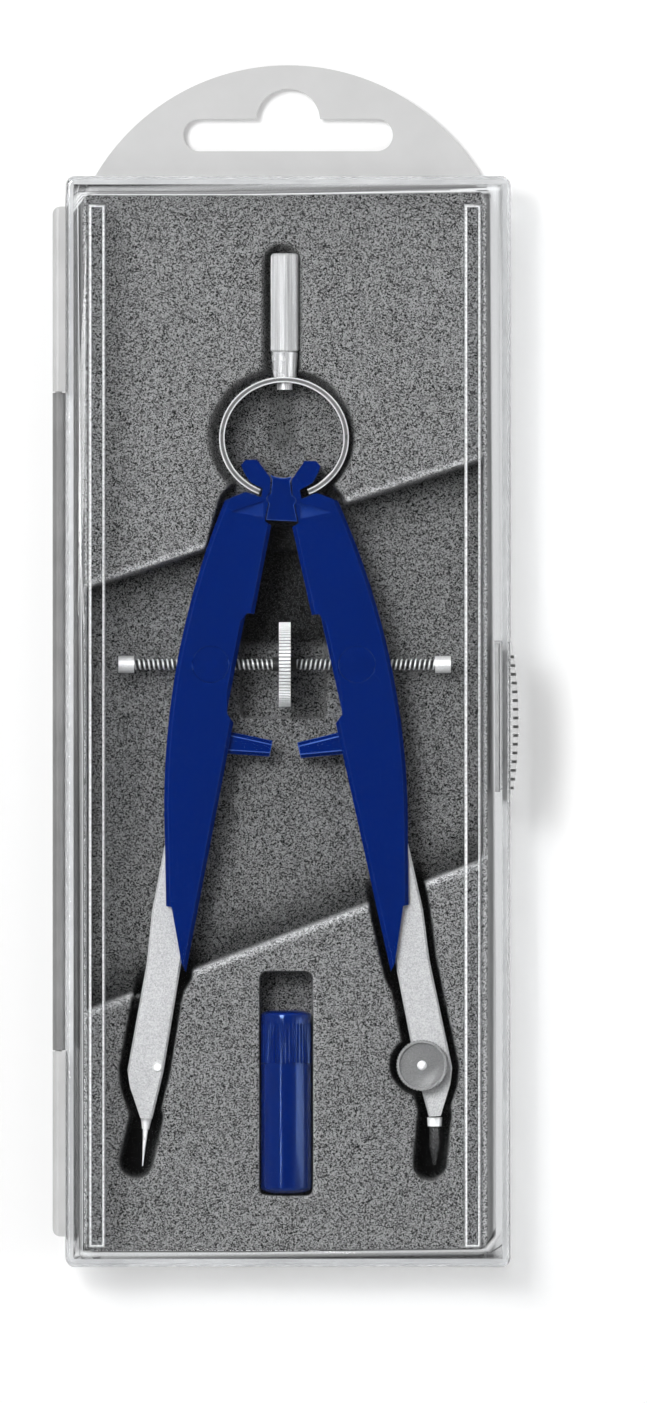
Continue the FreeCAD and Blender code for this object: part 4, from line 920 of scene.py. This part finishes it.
TURNED_SEGMENTS = 240
BOX_LOW = -84.8
BOX_RADIUS = 4.57
BOX_FLUTES = (0.18, 0.09, 0.0, 0.0, 0.0, 0.09)
DOME_REACH = 2.4
DOME_STEPS = 7
TUBE_LENGTH = 23.3
TUBE_DOME = 1.2
TUBE_BOTTOM = 1.2
NECK_RADIUS = 3.9
NECK_LENGTH = 6.0
TUBE_BORE = 3.3
CAP_GAP = 0.1
CAP_LENGTH = 9.5
CAP_LOW = BOX_LOW + TUBE_LENGTH + CAP_GAP
CAP_HIGH = CAP_LOW + CAP_LENGTH
CAP_DOME = 0.9
CAP_BORE = 3.96
CAP_DEPTH = 6.6
FLUTE_LENGTH = 7.0
FLUTE_RUN_OUT = 0.2
GRIP_LOW = 66.4
GRIP_HIGH = 84.2
GRIP_RADIUS = 2.5
GRIP_EDGE = 0.4
GRIP_FLUTES = (0.1, 0.0, 0.0, 0.0)


def dome(end, inwards, sag):
    """Rounded end from the axis to the side, as radii and places along the axis."""
    stations = [(0.0, end)]
    for step in range(DOME_STEPS + 1):
        turn = math.pi / 2 * step / DOME_STEPS
        radius = BOX_RADIUS - DOME_REACH * (1.0 - math.sin(turn))
        stations.append((radius, end + inwards * sag * (1.0 - math.cos(turn))))
    return stations


def turned_ring(axis_x, radius, along, depths):
    """Points around the axis, as deep below the radius as the depths say."""
    ring = []
    for step in range(TURNED_SEGMENTS):
        angle = 2 * math.pi * step / TURNED_SEGMENTS
        reach = radius - depths[step % len(depths)]
        ring.append((axis_x + reach * math.cos(angle), along, MID_HEIGHT + reach * math.sin(angle)))
    return ring


def make_turned(name, node, body, finish, axis_x, profile, flutes=(0.0,), fluted=()):
    """Body of revolution from radii and places along the axis; the fluted stations have grooves."""
    points = []
    rings = []
    for station in profile:
        radius, along = station
        first = len(points)
        if radius == 0.0:
            points.append((axis_x, along, MID_HEIGHT))
            rings.append([first] * TURNED_SEGMENTS)
        else:
            points += turned_ring(axis_x, radius, along, flutes if station in fluted else (0.0,))
            rings.append(list(range(first, first + TURNED_SEGMENTS)))
    faces = []
    for ring, following in zip(rings, rings[1:]):
        for step in range(TURNED_SEGMENTS):
            beside = (step + 1) % TURNED_SEGMENTS
            corners = (ring[step], following[step], following[beside], ring[beside])
            faces.append(tuple(dict.fromkeys(corners)))
    material, slot = finish
    piece = mesh_piece(name, points, faces, material)
    piece.data.set_sharp_from_angle(angle=EASED_ANGLE)
    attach(piece, body)
    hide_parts(node)


def make_lead_box():
    """Tube with a neck and fluted cap, both with rounded ends."""
    finish = (BLUE_BOX, "blue_plastic")
    shoulder = BOX_LOW + TUBE_LENGTH
    neck_top = shoulder + NECK_LENGTH
    inside = BOX_LOW + TUBE_BOTTOM
    tube = dome(BOX_LOW, 1, TUBE_DOME) + [
        (BOX_RADIUS, shoulder), (NECK_RADIUS, shoulder), (NECK_RADIUS, neck_top),
        (TUBE_BORE, neck_top), (TUBE_BORE, inside), (0.0, inside),
    ]
    make_turned("lead_box_barrel", "lead_box_tube", "case", finish, BOX_X, tube)
    ceiling = CAP_LOW + CAP_DEPTH
    flute_end = CAP_LOW + FLUTE_LENGTH
    fluted = [(BOX_RADIUS, CAP_LOW), (BOX_RADIUS, flute_end)]
    cap = [(0.0, ceiling), (CAP_BORE, ceiling), (CAP_BORE, CAP_LOW)] + fluted
    cap += [(BOX_RADIUS, flute_end + FLUTE_RUN_OUT)] + dome(CAP_HIGH, -1, CAP_DOME)[::-1]
    make_turned("lead_box_lid", "lead_box_cap", "lead_cap", finish, BOX_X, cap, BOX_FLUTES, fluted)


def make_grip():
    """Grip with fine straight flutes between chamfered ends."""
    finish = (NICKEL_GRIP, "nickel")
    end_radius = GRIP_RADIUS - GRIP_EDGE
    fluted = [(GRIP_RADIUS, GRIP_LOW + GRIP_EDGE), (GRIP_RADIUS, GRIP_HIGH - GRIP_EDGE)]
    grip = [(0.0, GRIP_LOW), (end_radius, GRIP_LOW)] + fluted + [(end_radius, GRIP_HIGH), (0.0, GRIP_HIGH)]
    make_turned("fluted_grip", "handle_grip", "case", finish, HANDLE_X, grip, GRIP_FLUTES, fluted)


# Threaded spindle


THREAD_PITCH = 0.85
THREAD_STEPS = 20
THREAD_SIDES = 4
CORE_SIDES = 24
SPINDLE_ENDS = (-29.6, 28.4)


def make_thread_tree():
    """Half of the spindle along X: a core with a helical crest wound left or right."""
    tree, size, result = new_group(
        "spindle_thread", "GeometryNodeTree",
        [("Length", FLOAT, SPINDLE_ENDS[1] * MM), ("Pitch", FLOAT, THREAD_PITCH * MM),
         ("Crest Radius", FLOAT, THREAD_CREST * MM), ("Root Radius", FLOAT, THREAD_ROOT * MM),
         ("Left Hand", "NodeSocketBool", False), ("Start", VECTOR, (0.0, 0.0, 0.0)),
         ("Metal", "NodeSocketMaterial", None)],
        ("Geometry", "NodeSocketGeometry"),
    )
    helix = result_of(tree, "GeometryNodeCurveSpiral", {
        "Resolution": THREAD_STEPS, "Rotations": combine(tree, "DIVIDE", size["Length"], size["Pitch"]),
        "Start Radius": size["Root Radius"], "End Radius": size["Root Radius"],
        "Height": size["Length"], "Reverse": size["Left Hand"],
    })
    upright = result_of(tree, "GeometryNodeSetCurveNormal", {"Curve": helix}, mode="Z_UP")
    crest = combine(tree, "SUBTRACT", size["Crest Radius"], size["Root Radius"])
    ridge = result_of(tree, "GeometryNodeCurvePrimitiveCircle", {
        "Resolution": THREAD_SIDES, "Radius": crest,
    }, mode="RADIUS")
    thread = result_of(tree, "GeometryNodeCurveToMesh", {
        "Curve": upright, "Profile Curve": ridge, "Fill Caps": True,
    })
    core = result_of(tree, "GeometryNodeMeshCylinder", {
        "Vertices": CORE_SIDES, "Radius": size["Root Radius"], "Depth": size["Length"],
    })
    half = combine(tree, "DIVIDE", size["Length"], 2.0)
    raised = result_of(tree, "GeometryNodeTransform", {
        "Geometry": core, "Translation": result_of(tree, "ShaderNodeCombineXYZ", {"Z": half}),
    })
    both = add_node(tree, "GeometryNodeJoinGeometry")
    for shape in (thread, raised):
        tree.links.new(shape, both.inputs[0])
    laid = result_of(tree, "GeometryNodeTransform", {
        "Geometry": both.outputs[0], "Translation": size["Start"], "Rotation": (0.0, math.pi / 2, 0.0),
    })
    finish_tree(tree, laid, size["Metal"], result)
    return tree


def make_spindle_halves():
    """Left-hand thread on one side of the wheel and right-hand thread on the other."""
    tree = make_thread_tree()
    for name, start, end, left_hand in (
        ("spindle_left_thread", SPINDLE_ENDS[0], WHEEL_X, True),
        ("spindle_right_thread", WHEEL_X, SPINDLE_ENDS[1], False),
    ):
        half = grow(name, tree, {
            "Length": (end - start) * MM, "Left Hand": left_hand, "Metal": NICKEL_THREAD,
            "Start": (start * MM, SPINDLE_Y * MM, MID_HEIGHT * MM),
        }, NICKEL_THREAD)
        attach(half, "spindle")
        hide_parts("spindle")


# Thumb grip of the lid


THUMB_RIBS = 16
THUMB_PITCH = 1.57
THUMB_HALF_LENGTH = 14.4
THUMB_BULGE = 1.2
THUMB_LOW = 11.0
THUMB_HEIGHT = 8.2
THUMB_FOOT = (39.78, -0.15)
RIB_DEPTH = 1.0
RIB_WIDTH = 0.5


def make_rib_tree():
    """Row of upright ribs along Y whose feet follow the grip's bulge."""
    tree, size, result = new_group(
        "grip_ribs", "GeometryNodeTree",
        [("Count", "NodeSocketInt", THUMB_RIBS), ("Pitch", FLOAT, THUMB_PITCH * MM),
         ("Rib Size", VECTOR, (RIB_DEPTH * MM, RIB_WIDTH * MM, THUMB_HEIGHT * MM)),
         ("Half Length", FLOAT, THUMB_HALF_LENGTH * MM), ("Bulge", FLOAT, THUMB_BULGE * MM),
         ("Foot", VECTOR, (0.0, 0.0, 0.0)), ("Plastic", "NodeSocketMaterial", None)],
        ("Geometry", "NodeSocketGeometry"),
    )
    span = combine(tree, "MULTIPLY", combine(tree, "SUBTRACT", size["Count"], 1.0), size["Pitch"])
    first = combine(tree, "MULTIPLY", span, -0.5)
    row = result_of(tree, "GeometryNodeMeshLine", {
        "Count": size["Count"], "Start Location": result_of(tree, "ShaderNodeCombineXYZ", {"Y": first}),
        "Offset": result_of(tree, "ShaderNodeCombineXYZ", {"Y": size["Pitch"]}),
    }, mode="OFFSET")
    place = result_of(tree, "GeometryNodeInputPosition")
    along = add_node(tree, "ShaderNodeSeparateXYZ", {0: place}).outputs["Y"]
    share = combine(tree, "DIVIDE", along, size["Half Length"])
    fall = combine(tree, "SUBTRACT", 1.0, combine(tree, "MULTIPLY", share, share))
    out = combine(tree, "MULTIPLY", fall, size["Bulge"])
    shift = result_of(tree, "ShaderNodeCombineXYZ", {"X": out})
    bowed = result_of(tree, "GeometryNodeSetPosition", {
        "Geometry": row, "Offset": combine_vectors(tree, "ADD", shift, size["Foot"])["Vector"],
    })
    rib = result_of(tree, "GeometryNodeMeshCube", {"Size": size["Rib Size"]})
    ribs = result_of(tree, "GeometryNodeInstanceOnPoints", {"Points": bowed, "Instance": rib})
    finish_tree(tree, ribs, size["Plastic"], result)
    return tree


def make_grip_ribs():
    """Ribs on the outside of the thumb grip."""
    foot_x, foot_y = THUMB_FOOT
    middle = THUMB_LOW + THUMB_HEIGHT / 2
    ribs = grow("thumb_grip_ribs", make_rib_tree(), {
        "Foot": (foot_x * MM, foot_y * MM, middle * MM), "Plastic": RIB_PLASTIC,
    }, RIB_PLASTIC)
    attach(ribs, "lid")


# Painted highlight lines of the lid's rails


RAIL_LEFT_X = -34.3
RAIL_RIGHT_X = 33.2
RAIL_Y = -0.8
RAIL_WIDTH = 2.0
RAIL_LENGTH = 186.4
LID_UNDERSIDE = 19.5
RAIL_FILLET = 0.5
FILLET_STEPS = 5
RAIL_CORNERS = ((-1, -1), (1, -1), (1, 1), (-1, 1))


def make_rail_fillets(name, middle_x):
    """Concave fillet all round the root of one rail, where it meets the lid's top, in the painted highlight.
    """
    half_x = RAIL_WIDTH / 2
    half_y = RAIL_LENGTH / 2
    rings = []
    for step in range(FILLET_STEPS + 1):
        turn = math.pi / 2 * step / FILLET_STEPS
        out = RAIL_FILLET * (1.0 - math.sin(turn))
        drop = RAIL_FILLET * (1.0 - math.cos(turn))
        rings.append((out, LID_UNDERSIDE - drop))
    rings.append((0.0, LID_UNDERSIDE))
    points = []
    for out, height in rings:
        for side_x, side_y in RAIL_CORNERS:
            points.append((middle_x + side_x * (half_x + out), RAIL_Y + side_y * (half_y + out), height))
    corners = len(RAIL_CORNERS)
    faces = []
    for ring in range(len(rings)):
        near = ring * corners
        far = (ring + 1) % len(rings) * corners
        for corner in range(corners):
            beside = (corner + 1) % corners
            faces.append((far + corner, far + beside, near + beside, near + corner))
    fillets = mesh_piece(name, points, faces, PAINTED_EDGE_HIGHLIGHT)
    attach(fillets, "lid")


# Copies of solids with eased edges


# Marks that tell faces apart, widths of the edges, and where a list of finishes has the painted highlight of
# the edges
CASE_HALF_WIDTH = 40.0
SIDE_SLACK = 0.02
BASE_RIM = 10.4
RIM_BAND = 0.06
LEG_FACET = 13.75
FACING_UP = 0.9
CLAMP_DISH = 15.0
CLAMP_BOSS = 1.0
SHELL_EDGE = 0.16
LEG_EDGE = 0.12
YOKE_EDGE = 0.1
ARM_EDGE = 0.2
RING_EDGE = 0.08
CLAMP_EDGE = 0.06
EDGE_HIGHLIGHT_SLOT = 1


def plain(_):
    """0 for every face."""
    return 0


def lid_zone(face):
    """1 for faces that stand out of the case's sides, else 0."""
    return int(abs(face.calc_center_median().x / MM) > CASE_HALF_WIDTH + SIDE_SLACK)


def base_zone(face):
    """1 for faces that stand out of the sides, 2 for the matt parting face, 3 for the catch, else 0."""
    middle = face.calc_center_median() / MM
    if abs(middle.x) > CASE_HALF_WIDTH + SIDE_SLACK:
        return 1
    if middle.z > BASE_RIM + RIM_BAND:
        return 3
    return 2 if middle.z > BASE_RIM - RIM_BAND else 0


def leg_zone(face):
    """2 for the sunk facets of a leg's head, which take a painted highlight, else 0."""
    height = face.calc_center_median().z / MM
    return 2 if abs(height - LEG_FACET) < RIM_BAND and face.normal.z > FACING_UP else 0


def clamp_zone(face):
    """1 for the riveted end in the middle of the clamp disc, 2 for its rim, else 0."""
    if face.calc_center_median().z / MM < CLAMP_DISH:
        return 0
    reach = max(math.hypot(vertex.co.x / MM - CLAMP[0], vertex.co.y / MM - CLAMP[1]) for vertex in face.verts)
    return 1 if reach < CLAMP_BOSS else 2


def make_eased_solids():
    """Shells, mouldings, arms, ring and clamp disc; the blue pieces and the arms have painted highlights on
    their edges.
    """
    dressed_copy("case_lid", "lid_shell", "lid", "clear_plastic", [CLEAR, LUG_PLASTIC], lid_zone, SHELL_EDGE)
    base = [CLEAR, BARREL_SHADED_PLASTIC, RIM_PLASTIC, CATCH_PLASTIC]
    dressed_copy("case_base", "base_shell", "case", "clear_plastic", base, base_zone, SHELL_EDGE)
    # The second and third blue finishes are painted highlights, for the edges and for the facets
    blue = [BLUE_LEG, BLUE_EDGE_HIGHLIGHT, BLUE_FACET_HIGHLIGHT]
    # The second steel finish is a painted highlight on the arms' eased edges
    arm_steel_with_edge_highlight = [SATIN_ARM, SATIN_NICKEL]
    for side in ("left", "right"):
        leg = side + "_leg"
        lever = side + "_lever"
        for node, name, body, slot, materials, zone, edge in (
            (leg + "_cover", leg + "_moulding", leg, "blue_plastic", blue, leg_zone, LEG_EDGE),
            (side + "_arm", side + "_lower_arm", leg, "satin_steel", arm_steel_with_edge_highlight, plain, ARM_EDGE),
            (side + "_release_lever", lever + "_blade", lever, "blue_plastic", blue, plain, LEG_EDGE),
        ):
            dressed_copy(node, name, body, slot, materials, zone, edge, EDGE_HIGHLIGHT_SLOT)
    dressed_copy("fulcrum_block", "fulcrum_yoke", "case", "blue_plastic", blue, plain, YOKE_EDGE, EDGE_HIGHLIGHT_SLOT)
    dressed_copy("ring_spring", "ring_band", "case", "nickel", [NICKEL_RING], plain, RING_EDGE)
    disc = [SATIN_DISC, BRIGHT_NICKEL, SATIN_RIM]
    dressed_copy("clamp_screw", "clamp_disc", "clamp", "satin_steel", disc, clamp_zone, CLAMP_EDGE)


# Finishes of the carried-over solids


def finish_nodes():
    """Every solid that stays visible gets its finish."""
    finishes = {
        FROSTED: ["hang_tab"],
        NICKEL_CONE: ["handle_cone", "handle_stud"],
        NICKEL_SPRING: ["left_lever_pin", "right_lever_pin", "left_lever_spring", "right_lever_spring"],
        NICKEL_WHEEL: ["thumbwheel"],
        BRIGHT_NICKEL: ["needle_collar", "needle", "lead_sleeve"],
        SATIN_NICKEL: ["left_spindle_cap", "right_spindle_cap", "needle_rivet"],
        BLUE_LEG: ["left_swivel_nut", "right_swivel_nut"],
        GRAPHITE: ["lead", "spare_leads"],
    }
    for material, names in finishes.items():
        for name in names:
            slots = NODES[name].data.materials
            slots.clear()
            slots.append(material)


# Studio: lamps, room, floor and camera


ROOM_SPAN = (-0.7, 0.7)
ROOM_LEVELS = (0.16, 0.5)
CEILING_SPAN = (0.72, 0.95)
CEILING_LEVELS = (1.0, 0.1)
BACKDROP_TONE = 0.94
FLOOR_TONE = 0.76
FLOOR_GLOW = 0.28
FLOOR_REACH = 3000.0
CAMERA_HEIGHT = 4.0
CAMERA_NEAR = 0.05
CAMERA_FAR = 20.0
SENSOR = 36.0


def add_lamp(name, place, width, height, watts):
    """Soft rectangular lamp that looks at the middle of the case."""
    data = bpy.data.lights.new(name, "AREA")
    data.shape = "RECTANGLE"
    data.size = width
    data.size_y = height
    data.energy = watts
    lamp = bpy.data.objects.new(name, data)
    lamp.location = place
    lamp.rotation_mode = "QUATERNION"
    lamp.rotation_quaternion = (-Vector(place)).to_track_quat("-Z", "Y")
    bpy.context.collection.objects.link(lamp)


def make_world():
    """Grey room, darker on the left and overhead, and white where the camera sees past the floor."""
    world = bpy.data.worlds.new("studio")
    world.use_nodes = True
    tree = world.node_tree
    tree.nodes.clear()
    direction = add_node(tree, "ShaderNodeTexCoord").outputs["Generated"]
    axes = add_node(tree, "ShaderNodeSeparateXYZ", {0: direction}).outputs
    side = map_range(tree, axes["X"], *ROOM_SPAN, *ROOM_LEVELS)
    overhead = map_range(tree, axes["Z"], *CEILING_SPAN, *CEILING_LEVELS)
    level = combine(tree, "MULTIPLY", side, overhead)
    room = result_of(tree, "ShaderNodeBackground", {"Color": grey(1.0), "Strength": level})
    backdrop = result_of(tree, "ShaderNodeBackground", {"Color": grey(BACKDROP_TONE), "Strength": 1.0})
    seen = add_node(tree, "ShaderNodeLightPath").outputs["Is Camera Ray"]
    mixed = result_of(tree, "ShaderNodeMixShader", {0: seen, 1: room, 2: backdrop})
    add_node(tree, "ShaderNodeOutputWorld", {"Surface": mixed})
    bpy.context.scene.world = world


def make_floor():
    """Pale floor that shows white where nothing shades it."""
    material, tree, output, _ = start_material("pale_floor")
    matt = result_of(tree, "ShaderNodeBsdfDiffuse", {"Color": grey(FLOOR_TONE)})
    lift = result_of(tree, "ShaderNodeEmission", {"Color": grey(1.0), "Strength": FLOOR_GLOW})
    none = result_of(tree, "ShaderNodeEmission", {"Color": grey(0.0), "Strength": 0.0})
    paths = add_node(tree, "ShaderNodeLightPath").outputs
    seen = highest(tree, paths["Is Camera Ray"], paths["Is Transmission Ray"], paths["Is Glossy Ray"])
    shown = result_of(tree, "ShaderNodeMixShader", {0: seen, 1: none, 2: lift})
    both = result_of(tree, "ShaderNodeAddShader", {0: matt, 1: shown})
    tree.links.new(both, output.inputs["Surface"])
    reach = FLOOR_REACH
    corners = [(-reach, -reach, 0.0), (reach, -reach, 0.0), (reach, reach, 0.0), (-reach, reach, 0.0)]
    floor = mesh_piece("floor", corners, [(0, 1, 2, 3)], material, smooth=False)


def make_camera():
    """Long lens straight above, framed as the photograph is."""
    data = bpy.data.cameras.new("camera")
    data.sensor_fit = "VERTICAL"
    data.sensor_width = SENSOR
    data.sensor_height = SENSOR
    data.lens = SENSOR * (CAMERA_HEIGHT - SCALE_HEIGHT) / (PHOTO_HEIGHT * PIXEL_SIZE)
    data.clip_start = CAMERA_NEAR
    data.clip_end = CAMERA_FAR
    camera = bpy.data.objects.new("camera", data)
    camera.location = (
        (PHOTO_WIDTH / 2 - ORIGIN_PIXEL_X) * PIXEL_SIZE,
        (ORIGIN_PIXEL_Y - PHOTO_HEIGHT / 2) * PIXEL_SIZE,
        CAMERA_HEIGHT,
    )
    bpy.context.collection.objects.link(camera)
    bpy.context.scene.camera = camera


finish_nodes()
make_eased_solids()
make_flocked_tray()
make_lead_box()
make_grip()
make_spindle_halves()
make_grip_ribs()
make_rail_fillets("left_rail_fillets", RAIL_LEFT_X)
make_rail_fillets("right_rail_fillets", RAIL_RIGHT_X)

make_world()
make_floor()
make_camera()
add_lamp("key_lamp", place=(-0.44, 0.41, 1.17), width=0.42, height=0.42, watts=12.2)
add_lamp("right_strip", place=(0.85, -0.1, 0.42), width=0.25, height=0.64, watts=1.4)
add_lamp("left_strip", place=(-0.47, -0.05, 1.0), width=1.2, height=0.03, watts=1.8)
bpy.context.scene.view_settings.view_transform = "Standard"
